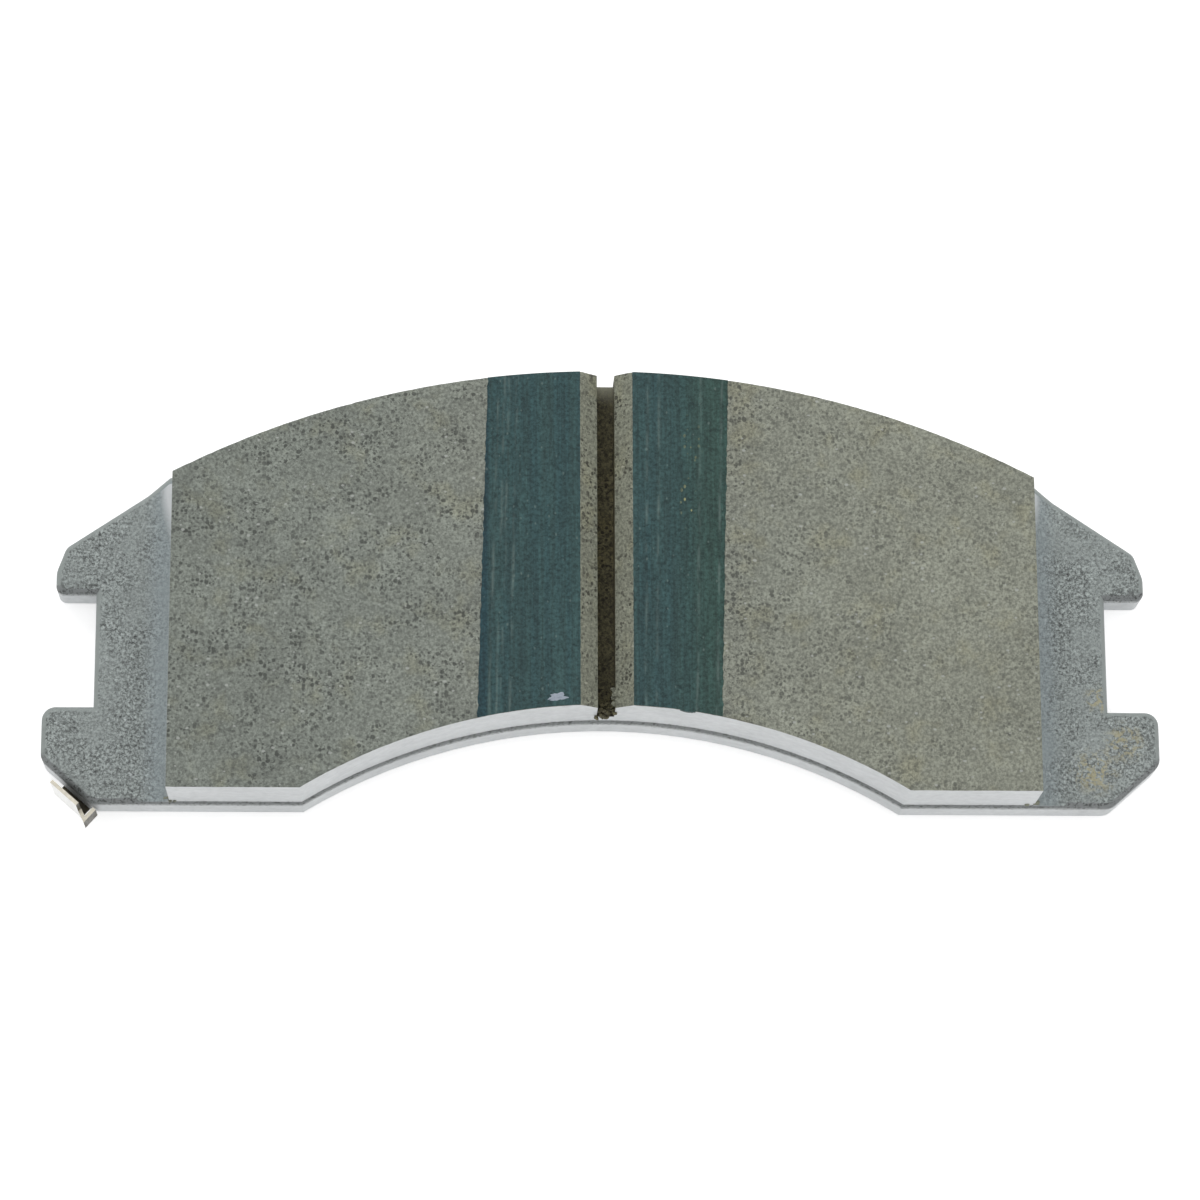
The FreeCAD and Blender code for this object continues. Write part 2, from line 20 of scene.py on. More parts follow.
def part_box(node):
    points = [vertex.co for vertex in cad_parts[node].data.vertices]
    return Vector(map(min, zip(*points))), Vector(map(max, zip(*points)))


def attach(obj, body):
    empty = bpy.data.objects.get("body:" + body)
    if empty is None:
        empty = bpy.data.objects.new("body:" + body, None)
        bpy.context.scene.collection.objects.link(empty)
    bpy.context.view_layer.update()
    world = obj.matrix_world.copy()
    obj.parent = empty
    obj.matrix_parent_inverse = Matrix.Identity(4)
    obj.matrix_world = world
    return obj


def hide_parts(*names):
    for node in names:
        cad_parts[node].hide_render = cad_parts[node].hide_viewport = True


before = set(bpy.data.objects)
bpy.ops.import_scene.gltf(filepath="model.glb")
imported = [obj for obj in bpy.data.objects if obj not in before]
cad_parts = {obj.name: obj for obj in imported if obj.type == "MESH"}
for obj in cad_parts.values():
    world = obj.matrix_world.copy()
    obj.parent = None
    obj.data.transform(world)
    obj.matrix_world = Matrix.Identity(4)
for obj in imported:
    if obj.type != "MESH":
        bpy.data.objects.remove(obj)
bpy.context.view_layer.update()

LOG = logging.getLogger("brake_pad")
MM = 0.001
BODY = "root"
Socket = bpy.types.NodeSocket
Colour = tuple[float, float, float, float]
Point = tuple[float, float, float]
# Pale wall colour: partly real pale paint, partly a painted reflection of the bright floor seen at a grazing
# angle
PALE_PAINT_AND_SHEEN: Colour = (0.72, 0.745, 0.755, 1)
EAR_PAINT: Colour = (0.304, 0.338, 0.328, 1)
PAINT_PITS: Colour = (0.052, 0.058, 0.055, 1)
CLEAR_BAND = (57.0 * MM, 60.9 * MM)
# Centre and size of each ochre stain on the right ear
STAINS = (((0.0655, -0.0060, 0.0065), 0.0026), ((0.0686, -0.0118, 0.0065), 0.0034),
          ((0.0646, -0.0157, 0.0065), 0.0040))
# Centre, size and strength of each patch of pale flecks on the right stripe
FLECK_PATCHES = (((0.0109, 0.0180, 0.0156), 0.0014, 1.0), ((0.0113, 0.0262, 0.0156), 0.0018, 0.35))


class End(Enum):
    """An end of the pad, by the sign of its X."""

    LEFT = -1
    RIGHT = 1


class Zone(Enum):
    """A region of the friction block, by the number of its material slot."""

    FACE = 0
    SIDE = 1
    BEVEL = 2
    SLOT = 3


# Shader building


@dataclass
class Graph:
    """A node tree under construction."""

    tree: bpy.types.NodeTree

    def add(self, kind: str, inputs: Mapping[Any, Any] | None = None, **settings: Any) -> bpy.types.Node:
        """Add a node, set it up and feed it.

        Args:
            kind: Blender's name for the node type.
            inputs: a socket to link, or a constant to set, for each input's name or number.
            settings: properties of the node itself.

        Returns:
            The new node.
        """
        node = self.tree.nodes.new(kind)
        for name, value in settings.items():
            setattr(node, name, value)
        for key, value in (inputs or {}).items():
            if isinstance(value, Socket):
                self.tree.links.new(value, node.inputs[key])
            else:
                node.inputs[key].default_value = value
        return node

    def place(self) -> Socket:
        """Return the place on the object, in metres."""
        return self.add("ShaderNodeTexCoord").outputs["Object"]

    def stretch(self, place: Socket, scale: Point) -> Socket:
        """Return the place scaled along each axis."""
        return self.add("ShaderNodeMapping", {"Vector": place, "Scale": scale}).outputs[0]

    def maths(self, operation: str, first: Any, second: Any = 0.0, third: Any = 0.0) -> Socket:
        """Return the result of one operation on numbers."""
        inputs = {0: first, 1: second, 2: third}
        return self.add("ShaderNodeMath", inputs, operation=operation).outputs[0]

    def times(self, first: Any, second: Any) -> Socket:
        """Return the product of two numbers."""
        return self.maths("MULTIPLY", first, second)

    def clamp(self, value: Socket) -> Socket:
        """Return a value held between 0 and 1."""
        return self.add("ShaderNodeClamp", {"Value": value}).outputs[0]

    def grade(self, value: Socket, low: float, high: float, start: float = 0.0, end: float = 1.0) -> Socket:
        """Return a value carried smoothly from start to end as it runs from low to high."""
        inputs = {"Value": value, "From Min": low, "From Max": high, "To Min": start, "To Max": end}
        kind = "ShaderNodeMapRange"
        return self.add(kind, inputs, interpolation_type="SMOOTHSTEP").outputs["Result"]

    def blend(self, share: Any, first: Any, second: Any, mode: str = "MIX") -> Socket:
        """Return the mix of two colours."""
        inputs = {0: share, 6: first, 7: second}
        node = self.add("ShaderNodeMix", inputs, data_type="RGBA", blend_type=mode)
        return node.outputs[2]

    def tint(self, first: Any, second: Any) -> Socket:
        """Return the product of two colours."""
        return self.blend(1.0, first, second, "MULTIPLY")

    def grain(self, place: Socket, scale: float, detail: float = 2.0, roughness: float = 0.5) -> Socket:
        """Return cloudy noise of the given scale, in features per metre."""
        inputs = {"Vector": place, "Scale": scale, "Detail": detail, "Roughness": roughness}
        return self.add("ShaderNodeTexNoise", inputs).outputs[0]

    def axis(self, vector: Socket, name: str) -> Socket:
        """Return one component of a vector."""
        return self.add("ShaderNodeSeparateXYZ", {0: vector}).outputs[name]

    def shared(self, group: bpy.types.NodeTree, inputs: Mapping[str, Any]) -> bpy.types.Node:
        """Place a shared effect, with this material's own values."""
        return self.add("ShaderNodeGroup", inputs, node_tree=group)

    def near(self, place: Socket, centre: Point, size: float, squash: Point = (1.0, 1.0, 1.0)) -> Socket:
        """Return a soft spot: 1 at its centre, 0 beyond its size."""
        gap = self.add("ShaderNodeVectorMath", {0: place, 1: centre}, operation="SUBTRACT").outputs[0]
        kind = "ShaderNodeVectorMath"
        reach = self.add(kind, {0: self.stretch(gap, squash)}, operation="LENGTH").outputs["Value"]
        return self.grade(reach, size, 0.2 * size)


@dataclass
class Effects:
    """The shader effects that several finishes share, each a node group made once."""

    specks: bpy.types.NodeTree = field(init=False)
    mottle: bpy.types.NodeTree = field(init=False)
    turn: bpy.types.NodeTree = field(init=False)
    dust: bpy.types.NodeTree = field(init=False)
    worms: bpy.types.NodeTree = field(init=False)

    def __post_init__(self) -> None:
        """Build every group."""
        self.specks = self._group("specks", {"Place": None, "Scale": 1000.0, "Size": 0.3, "Soft": 0.1},
                                  ["Mask"], self._draw_specks)
        self.mottle = self._group("mottle", {"Place": None, "Broad": 60.0, "Fine": 900.0, "Depth": 0.2},
                                  ["Value"], self._draw_mottle)
        self.turn = self._group("surface_turn", {"Place": None, "Wobble": 0.1},
                                ["Roll", "Side", "Lower"], self._draw_turn)
        self.worms = self._group("worms", {"Place": None, "Scale": 2000.0, "Cover": 0.4, "Bend": 0.7},
                                 ["Mask"], self._draw_worms)
        self.dust = self._group("dust", {"Place": None, "Scale": 300.0, "Cover": 0.5},
                                ["Mask"], self._draw_dust)

    def marks(self, graph: Graph, place: Socket, scale: float, cover: float, bend: float = 0.7) -> Socket:
        """Return fine crooked marks."""
        inputs = {"Place": place, "Scale": scale, "Cover": cover, "Bend": bend}
        return graph.shared(self.worms, inputs).outputs[0]

    def spots(self, graph: Graph, place: Socket, scale: float, size: float, soft: float) -> Socket:
        """Return round specks."""
        inputs = {"Place": place, "Scale": scale, "Size": size, "Soft": soft}
        return graph.shared(self.specks, inputs).outputs[0]

    def clouds(self, graph: Graph, place: Socket, broad: float, fine: float, depth: float) -> Socket:
        """Return a value that varies round 1."""
        inputs = {"Place": place, "Broad": broad, "Fine": fine, "Depth": depth}
        return graph.shared(self.mottle, inputs).outputs[0]

    def dusting(self, graph: Graph, place: Socket, scale: float, cover: float) -> Socket:
        """Return soft ragged patches."""
        inputs = {"Place": place, "Scale": scale, "Cover": cover}
        return graph.shared(self.dust, inputs).outputs[0]

    @staticmethod
    def _group(name: str, inputs: Mapping[str, float | None], outputs: Sequence[str],
               draw: Callable[[Graph, bpy.types.Node], Sequence[Socket]]) -> bpy.types.NodeTree:
        """Make one node group.

        Args:
            name: the group's name.
            inputs: each input's name and usual value, or None for a vector.
            outputs: the names of its outputs, all numbers.
            draw: fills the group in and returns what each output gives.

        Returns:
            The group.
        """
        tree = bpy.data.node_groups.new(name, "ShaderNodeTree")
        for key, value in inputs.items():
            kind = "NodeSocketVector" if value is None else "NodeSocketFloat"
            socket = tree.interface.new_socket(key, in_out="INPUT", socket_type=kind)
            if value is not None:
                socket.default_value = value
        for key in outputs:
            tree.interface.new_socket(key, in_out="OUTPUT", socket_type="NodeSocketFloat")
        graph = Graph(tree)
        results = draw(graph, graph.add("NodeGroupInput"))
        end = graph.add("NodeGroupOutput")
        for key, result in zip(outputs, results):
            tree.links.new(result, end.inputs[key])
        return tree

    @staticmethod
    def _draw_specks(graph: Graph, given: bpy.types.Node) -> Sequence[Socket]:
        """Scatter round specks of uneven size, one to a cell."""
        place, scale, size, soft = (given.outputs[key] for key in ("Place", "Scale", "Size", "Soft"))
        bent = graph.grain(place, 4000.0, 1.0)
        cell = graph.add("ShaderNodeTexVoronoi", {"Vector": place, "Scale": scale})
        chance = graph.add("ShaderNodeSeparateColor", {0: cell.outputs["Color"]}).outputs[0]
        reach = graph.times(graph.maths("POWER", chance, 1.6), size)
        near = graph.maths("SUBTRACT", reach, cell.outputs["Distance"])
        ragged = graph.maths("MULTIPLY_ADD", bent, 0.16, graph.maths("SUBTRACT", near, 0.08))
        mask = graph.maths("DIVIDE", ragged, soft)
        return [graph.clamp(mask)]

    @staticmethod
    def _draw_mottle(graph: Graph, given: bpy.types.Node) -> Sequence[Socket]:
        """Vary a value round 1 with broad clouds and fine grain."""
        place, depth = given.outputs["Place"], given.outputs["Depth"]
        clouds = []
        for key, detail in (("Broad", 3.0), ("Fine", 4.0)):
            inputs = {"Vector": place, "Scale": given.outputs[key], "Detail": detail, "Roughness": 0.6}
            clouds.append(graph.add("ShaderNodeTexNoise", inputs).outputs[0])
        both = graph.maths("SUBTRACT", graph.maths("ADD", *clouds), 1.0)
        return [graph.maths("MULTIPLY_ADD", both, depth, 1.0)]

    @staticmethod
    def _draw_turn(graph: Graph, given: bpy.types.Node) -> Sequence[Socket]:
        """Tell flat front, rolled edge and side apart by the way the surface faces."""
        normal = graph.add("ShaderNodeNewGeometry").outputs["Normal"]
        rise = graph.axis(normal, "Z")
        waver = graph.maths("SUBTRACT", graph.grain(given.outputs["Place"], 700.0, 3.0, 0.6), 0.5)
        rise = graph.maths("MULTIPLY_ADD", waver, given.outputs["Wobble"], rise)
        front = graph.grade(rise, 0.93, 0.99)
        side = graph.grade(rise, 0.16, 0.04)
        roll = graph.maths("SUBTRACT", graph.maths("SUBTRACT", 1.0, front), side)
        # Lower: surfaces facing -Y, away from the key lamp, where the paint finishes lay painted shade
        lower = graph.grade(graph.axis(normal, "Y"), 0.02, -0.22)
        return [graph.clamp(roll), side, lower]

    @staticmethod
    def _draw_worms(graph: Graph, given: bpy.types.Node) -> Sequence[Socket]:
        """Draw fine crooked marks, joined into clusters."""
        place, scale, cover = (given.outputs[key] for key in ("Place", "Scale", "Cover"))
        inputs = {"Vector": place, "Scale": scale, "Detail": 4.0, "Roughness": 0.68,
                  "Distortion": given.outputs["Bend"]}
        cloud = graph.add("ShaderNodeTexNoise", inputs).outputs[0]
        deep = graph.maths("SUBTRACT", graph.maths("MULTIPLY_ADD", cover, 0.30, 0.36), cloud)
        return [graph.clamp(graph.times(deep, 14.0))]

    @staticmethod
    def _draw_dust(graph: Graph, given: bpy.types.Node) -> Sequence[Socket]:
        """Gather dust in soft ragged patches."""
        inputs = {"Vector": given.outputs["Place"], "Scale": given.outputs["Scale"], "Detail": 6.0,
                  "Roughness": 0.7}
        cloud = graph.add("ShaderNodeTexNoise", inputs).outputs[0]
        edge = graph.maths("SUBTRACT", 1.0, given.outputs["Cover"])
        spread = graph.maths("SUBTRACT", cloud, edge)
        mask = graph.times(spread, 7.0)
        return [graph.clamp(mask)]


def new_material(name: str) -> tuple[bpy.types.Material, Graph]:
    """Start an empty material.

    Args:
        name: the material's name.

    Returns:
        The material, and the graph of its nodes.
    """
    material = bpy.data.materials.new(name)
    material.use_nodes = True
    material.node_tree.nodes.clear()
    return material, Graph(material.node_tree)


def close_surface(graph: Graph, inputs: Mapping[str, Any], height: Socket | None = None,
                  lift: float = 0.0) -> None:
    """End a material in one Principled shader.

    Args:
        graph: the material's nodes.
        inputs: what feeds the shader.
        height: a relief for the surface, from 0 to 1.
        lift: how high that relief stands, in metres.
    """
    fed = dict(inputs)
    if height is not None:
        bump = graph.add("ShaderNodeBump", {"Height": height, "Distance": lift, "Strength": 1.0})
        fed["Normal"] = bump.outputs[0]
    shader = graph.add("ShaderNodeBsdfPrincipled", fed)
    graph.add("ShaderNodeOutputMaterial", {"Surface": shader.outputs[0]})


@dataclass(frozen=True)
class CompoundFinish:
    """Ground or cut friction compound: a resin ground with dark and pale grains."""

    name: str
    left: Colour
    right: Colour
    dark: Colour
    pale: Colour
    mottle: float = 0.5
    speck_share: float = 0.75
    grit: float = 0.40
    roughness: float = 0.85
    relief: float = 0.03 * MM
    pale_end: float | None = None

    def build(self, effects: Effects) -> bpy.types.Material:
        """Return the material."""
        material, graph = new_material(self.name)
        place = graph.place()
        # The ground runs lighter and more olive towards +X: partly the compound's own tone, partly painted
        # light
        across = graph.axis(place, "X")
        drift = graph.maths("MULTIPLY_ADD", graph.grain(place, 28.0, 3.0), 0.07, across)
        ground = graph.blend(graph.grade(drift, -0.02, 0.085), self.left, self.right)
        cloud = effects.clouds(graph, place, 75.0, 420.0, self.mottle)
        ground = graph.tint(ground, cloud)
        fine = graph.grain(place, 2500.0, 4.0, 0.8)
        ground = graph.tint(ground, graph.grade(fine, 0.32, 0.68, 1.0 - self.grit, 1.0 + self.grit))
        tan_patch = graph.grade(graph.grain(place, 190.0, 4.0, 0.6), 0.50, 0.70, 0.0, 0.4)
        tan = graph.tint(ground, (1.10, 1.02, 0.80, 1.0))
        ground = graph.blend(tan_patch, ground, tan)
        crowd = graph.grade(graph.grain(place, 210.0, 4.0, 0.65), 0.36, 0.60, 0.30, 1.0)
        small = effects.marks(graph, place, 2400.0, 0.30, 0.0)
        coarse = effects.marks(graph, place, 900.0, 0.09, 0.2)
        dots = effects.spots(graph, place, 1800.0, 0.66, 0.12)
        marks = graph.maths("MAXIMUM", small, graph.times(coarse, 0.6))
        marks = graph.maths("MAXIMUM", marks, dots)
        fewer = graph.grade(across, 5.0 * MM, 45.0 * MM, self.speck_share, 0.62 * self.speck_share)
        share = graph.times(graph.times(marks, crowd), fewer)
        colour = graph.blend(share, ground, self.dark)
        glint = effects.spots(graph, graph.stretch(place, (1.0, 1.4, 1.0)), 820.0, 0.24, 0.06)
        colour = graph.blend(graph.times(glint, 0.6), colour, self.pale)
        if self.pale_end:
            end = graph.grade(graph.axis(place, "Y"), self.pale_end - 3.0 * MM, self.pale_end - 0.4 * MM)
            colour = graph.blend(graph.times(end, 0.8), colour, (0.25, 0.25, 0.19, 1.0))
        height = graph.maths("SUBTRACT", fine, graph.times(share, 0.8))
        shine = graph.grade(fine, 0.3, 0.7, self.roughness - 0.08, self.roughness + 0.08)
        close_surface(graph, {"Base Color": colour, "Roughness": shine}, height, self.relief)
        return material


@dataclass(frozen=True)
class PaintFinish:
    """Thin blue-grey paint over shot-blasted steel or moulded compound."""

    name: str
    front: Colour
    dark: Colour
    side: Colour = PALE_PAINT_AND_SHEEN
    # Colour of the rolled edges facing -Y: painted shade on the plate
    roll: Colour = PALE_PAINT_AND_SHEEN
    stain: Colour | None = None
    speckle: float = 1.0
    clear_band: tuple[float, float] = (0.0, 0.001)
    wall: float = 0.0
    # Lower edge of the painted shade band on the -Y walls
    shade_band: float = 5.0 * MM
    roughness: float = 0.5

    def build(self, effects: Effects) -> bpy.types.Material:
        """Return the material."""
        material, graph = new_material(self.name)
        place = graph.place()
        turn = graph.shared(effects.turn, {"Place": place, "Wobble": 0.10}).outputs
        roll, side, lower = (turn[key] for key in ("Roll", "Side", "Lower"))
        cloud = effects.clouds(graph, place, 110.0, 900.0, 0.36)
        ground = graph.tint(self.front, cloud)
        reach = graph.maths("ABSOLUTE", graph.axis(place, "X"))
        blue = graph.grade(reach, self.clear_band[1], self.clear_band[0] + MM, 0.0, 0.75)
        ground = graph.blend(blue, ground, (0.285, 0.332, 0.346, 1.0))
        crowd = graph.grade(reach, *self.clear_band, 0.35, 1.0)
        patch = graph.grade(graph.grain(place, 190.0, 4.0, 0.65), 0.34, 0.58, 0.45, 1.0)
        crowd = graph.times(graph.times(crowd, patch), self.speckle)
        fine = effects.marks(graph, place, 2700.0, 0.40)
        pits = effects.marks(graph, place, 1900.0, 0.19)
        blots = graph.times(graph.maths("MAXIMUM", graph.times(fine, 0.70), pits), crowd)
        colour = graph.blend(graph.times(blots, 0.85), ground, self.dark)
        glint = effects.marks(graph, graph.stretch(place, (1.1, 0.9, 1.0)), 1300.0, 0.12)
        colour = graph.blend(graph.times(graph.times(glint, crowd), 0.6), colour,
                             (0.50, 0.54, 0.54, 1.0))
        grit = graph.grade(graph.grain(place, 2600.0, 4.0, 0.8), 0.32, 0.68, -0.75, 0.66)
        grit = graph.maths("MULTIPLY_ADD", grit, crowd, 1.0)
        colour = graph.tint(colour, grit)
        if self.stain:
            colour = self._stain_and_notch_shade(graph, effects, place, colour)
        if self.wall:
            colour = self._runout_highlight(graph, place, reach, colour)
        else:
            # Rolled edges facing -Y get painted shade, dark and speckled; the others keep the front colour
            rolled = graph.blend(graph.times(fine, 0.9), self.roll, self.dark)
            colour = graph.blend(roll, colour, graph.blend(lower, self.front, rolled))
            # Walls: pale paint with a painted sheen of the bright floor
            lit = graph.tint(self.side, cloud)
            # Painted shade: a dark speckled band high on the -Y walls, widening the shade on the rolled edge
            level = graph.axis(place, "Z")
            shade_band = graph.times(graph.grade(level, self.shade_band - 0.3 * MM, self.shade_band + 0.3 * MM), lower)
            shade_band = graph.times(shade_band, graph.grade(level, self.shade_band + 1.9 * MM, self.shade_band + 1.6 * MM))
            lit = graph.blend(graph.times(shade_band, graph.maths("MULTIPLY_ADD", fine, 0.5, 0.5)), lit, rolled)
            colour = graph.blend(side, colour, lit)
        orange_peel = graph.grain(place, 1600.0, 2.0)
        height = graph.maths("MULTIPLY_ADD", blots, -0.9, orange_peel)
        shine = graph.grade(orange_peel, 0.3, 0.7, self.roughness - 0.08, self.roughness + 0.1)
        close_surface(graph, {"Base Color": colour, "Roughness": shine}, height, 0.035 * MM)
        return material

    def _stain_and_notch_shade(self, graph: Graph, effects: Effects, place: Socket, colour: Socket) -> Socket:
        """Lay ochre stains on the right ear and painted shade, dark and speckled, along the notches.

        Args:
            graph: the material's nodes.
            effects: the shared effects.
            place: the place on the object.
            colour: the paint so far.

        Returns:
            The stained paint with its painted shade.
        """
        blotch = effects.marks(graph, place, 1100.0, 0.50)
        for centre, size in STAINS:
            share = graph.times(blotch, graph.near(place, centre, size))
            colour = graph.blend(graph.times(share, 0.85), colour, self.stain)
        # Painted shade, dark and speckled, along the lower edges of the hooks over the notches
        reach = graph.maths("ABSOLUTE", graph.axis(place, "X"))
        rise = graph.axis(place, "Y")
        edge = graph.times(graph.grade(rise, 7.0 * MM, 7.5 * MM), graph.grade(rise, 9.5 * MM, 8.5 * MM))
        edge = graph.times(edge, graph.grade(reach, 66.4 * MM, 67.2 * MM))
        notch_shade_marks = effects.marks(graph, place, 900.0, 0.52)
        return graph.blend(graph.times(edge, graph.times(notch_shade_marks, 0.7)), colour, self.dark)

    def _runout_highlight(self, graph: Graph, place: Socket, reach: Socket, colour: Socket) -> Socket:
        """Paint a highlight line beside the moulding and let a painted highlight pale the paint towards the
        fillet's outer end.

        Args:
            graph: the material's nodes.
            place: the place on the object.
            reach: the distance from mid length.
            colour: the paint so far.

        Returns:
            The paint with both.
        """
        line = graph.grade(reach, self.wall + 0.75 * MM, self.wall + 0.25 * MM, 0.0, 0.55)
        high = graph.grade(graph.axis(place, "Y"), 9.0 * MM, 22.0 * MM)
        spread = graph.maths("MULTIPLY_ADD", high, 2.0 * MM, self.wall + 0.2 * MM)
        highlight_wedge = graph.times(high, graph.maths("DIVIDE", graph.maths("SUBTRACT", spread, reach), MM))
        highlight_wedge = graph.clamp(highlight_wedge)
        colour = graph.blend(line, colour, (0.46, 0.49, 0.50, 1.0))
        return graph.blend(graph.times(highlight_wedge, 0.9), colour, (0.64, 0.66, 0.67, 1.0))


@dataclass(frozen=True)
class CoatingFinish:
    """Dark teal burnish coating, wiped on along the pad's height in fine streaks."""

    name: str
    base: Colour
    deep: Colour
    streak: Colour
    roughness: float = 0.62

    def build(self, effects: Effects) -> bpy.types.Material:
        """Return the material."""
        material, graph = new_material(self.name)
        place = graph.place()
        drawn = graph.stretch(place, (1.0, 0.03, 1.0))
        hair = graph.grain(drawn, 2600.0, 3.0, 0.6)
        band = graph.grain(drawn, 700.0, 2.0, 0.5)
        cloud = effects.clouds(graph, place, 120.0, 1500.0, 0.28)
        colour = graph.blend(graph.grade(band, 0.35, 0.65), self.base, self.deep)
        across = graph.axis(place, "X")
        for start, end, tone in ((7.0, 15.0, (0.040, 0.080, 0.066, 1.0)),
                                 (-14.9, -15.6, (0.020, 0.050, 0.062, 1.0))):
            share = graph.grade(across, start * MM, end * MM, 0.0, 0.8)
            colour = graph.blend(share, colour, tone)
        colour = graph.tint(colour, graph.grade(hair, 0.3, 0.7, 0.78, 1.24))
        colour = graph.tint(colour, cloud)
        grit = graph.grain(place, 2200.0, 4.0, 0.8)
        colour = graph.tint(colour, graph.grade(grit, 0.32, 0.68, 0.62, 1.38))
        ridge = graph.add("ShaderNodeAttribute", attribute_name="ridge").outputs["Fac"]
        broken = graph.grade(graph.grain(graph.stretch(place, (1.0, 0.2, 1.0)), 1500.0, 3.0), 0.40, 0.62)
        colour = graph.blend(graph.times(ridge, graph.times(broken, 0.62)), colour, self.streak)
        pits = effects.marks(graph, place, 1500.0, 0.16)
        colour = graph.blend(graph.times(pits, 0.55), colour, (0.014, 0.030, 0.032, 1.0))
        fleck = effects.spots(graph, graph.stretch(place, (1.0, 0.7, 1.0)), 1100.0, 0.20, 0.08)
        colour = graph.blend(graph.times(fleck, 0.35), colour, self.streak)
        chips = effects.spots(graph, graph.stretch(place, (1.0, 0.7, 1.0)), 2100.0, 0.52, 0.18)
        share = graph.times(chips, self._fleck_field(graph, place))
        colour = graph.blend(share, colour, (0.40, 0.40, 0.20, 1.0))
        height = graph.maths("MULTIPLY_ADD", hair, 0.6, graph.times(pits, -0.7))
        shine = graph.grade(hair, 0.3, 0.7, self.roughness - 0.1, self.roughness + 0.1)
        close_surface(graph, {"Base Color": colour, "Roughness": shine, "Specular IOR Level": 0.22}, height,
                      0.03 * MM)
        return material

    @staticmethod
    def _fleck_field(graph: Graph, place: Socket) -> Socket:
        """Return where the right stripe has pale flecks, as a share from 0 to 1."""
        total: Socket | float = 0.0
        for centre, size, share in FLECK_PATCHES:
            spot = graph.near(place, centre, size, (1.0, 0.35, 1.0))
            total = graph.maths("MAXIMUM", total, graph.times(spot, share))
        return total


@dataclass(frozen=True)
class StripFinish:
    """Passivated spring strip: near-white outside, partly a painted reflection, a painted cream highlight on
    its upper cut edge, and painted shade with dusty tarnish patches on faces turned into the fold.
    """

    name: str
    outside: Colour
    edge: Colour
    inside: Colour
    inward: Vector

    def build(self, effects: Effects) -> bpy.types.Material:
        """Return the material."""
        material, graph = new_material(self.name)
        place = graph.place()
        normal = graph.add("ShaderNodeNewGeometry").outputs["Normal"]
        along = (self.inward.y, -self.inward.x, 0.0)
        kind = "ShaderNodeVectorMath"
        facing = graph.add(kind, {0: normal, 1: tuple(self.inward)}, operation="DOT_PRODUCT").outputs["Value"]
        turned = graph.add(kind, {0: normal, 1: along}, operation="DOT_PRODUCT").outputs["Value"]
        # Faces turned towards the plate, along the cut or upwards get painted shade
        dark = graph.maths("MAXIMUM", graph.grade(facing, 0.1, 0.5), graph.grade(turned, 0.45, 0.75))
        dull = effects.dusting(graph, place, 700.0, 0.45)
        # Shaded colour: painted shade with dusty tarnish patches
        tarnish = graph.blend(graph.times(dull, 0.5), self.inside, (0.16, 0.14, 0.085, 1.0))
        # Painted highlight: cream on the upper cut edge
        top = graph.times(graph.grade(graph.axis(normal, "Z"), 0.6, 0.9),
                          graph.grade(graph.axis(place, "Z"), 4.0 * MM, 5.0 * MM))
        dark = graph.maths("MAXIMUM", dark, graph.grade(graph.axis(normal, "Z"), 0.3, 0.6))
        # Outside: near white, partly pale steel and partly a painted reflection of the white backdrop
        colour = graph.blend(top, self.outside, self.edge)
        colour = graph.blend(graph.times(dark, graph.maths("SUBTRACT", 1.0, top)), colour, tarnish)
        marks = graph.grain(graph.stretch(place, (1.0, 1.0, 0.1)), 2600.0, 3.0, 0.6)
        colour = graph.tint(colour, graph.grade(marks, 0.3, 0.7, 0.88, 1.06))
        shine = graph.grade(marks, 0.3, 0.7, 0.30, 0.46)
        close_surface(graph, {"Base Color": colour, "Metallic": 0.35, "Roughness": shine}, marks, 0.005 * MM)
        return material


@dataclass(frozen=True)
class SteelFinish:
    """Bare, plated or passivated steel with rolling marks."""

    name: str
    base: Colour
    tarnish: Colour
    roughness: float = 0.3
    marks: Point = (1.0, 0.05, 1.0)

    def build(self, effects: Effects) -> bpy.types.Material:
        """Return the material."""
        material, graph = new_material(self.name)
        place = graph.place()
        marks = graph.grain(graph.stretch(place, self.marks), 2500.0, 3.0, 0.6)
        dull = effects.dusting(graph, place, 420.0, 0.45)
        colour = graph.blend(graph.times(dull, 0.45), self.base, self.tarnish)
        colour = graph.tint(colour, graph.grade(marks, 0.3, 0.7, 0.90, 1.06))
        shine = graph.grade(marks, 0.3, 0.7, self.roughness - 0.06, self.roughness + 0.10)
        close_surface(graph, {"Base Color": colour, "Metallic": 1.0, "Roughness": shine}, marks, 0.006 * MM)
        return material


@dataclass(frozen=True)
class FilmFinish:
    """A rubber coating or an adhesive film, with fine orange peel and dust."""

    name: str
    base: Colour
    dusty: Colour
    roughness: float = 0.6

    def build(self, effects: Effects) -> bpy.types.Material:
        """Return the material."""
        material, graph = new_material(self.name)
        place = graph.place()
        cloud = effects.clouds(graph, place, 55.0, 1300.0, 0.4)
        colour = graph.tint(self.base, cloud)
        dust = effects.dusting(graph, place, 260.0, 0.42)
        colour = graph.blend(graph.times(dust, 0.4), colour, self.dusty)
        peel = graph.grain(place, 1900.0, 2.0)
        shine = graph.grade(peel, 0.3, 0.7, self.roughness - 0.1, self.roughness + 0.1)
        close_surface(graph, {"Base Color": colour, "Roughness": shine}, peel, 0.02 * MM)
        return material


# Mesh building


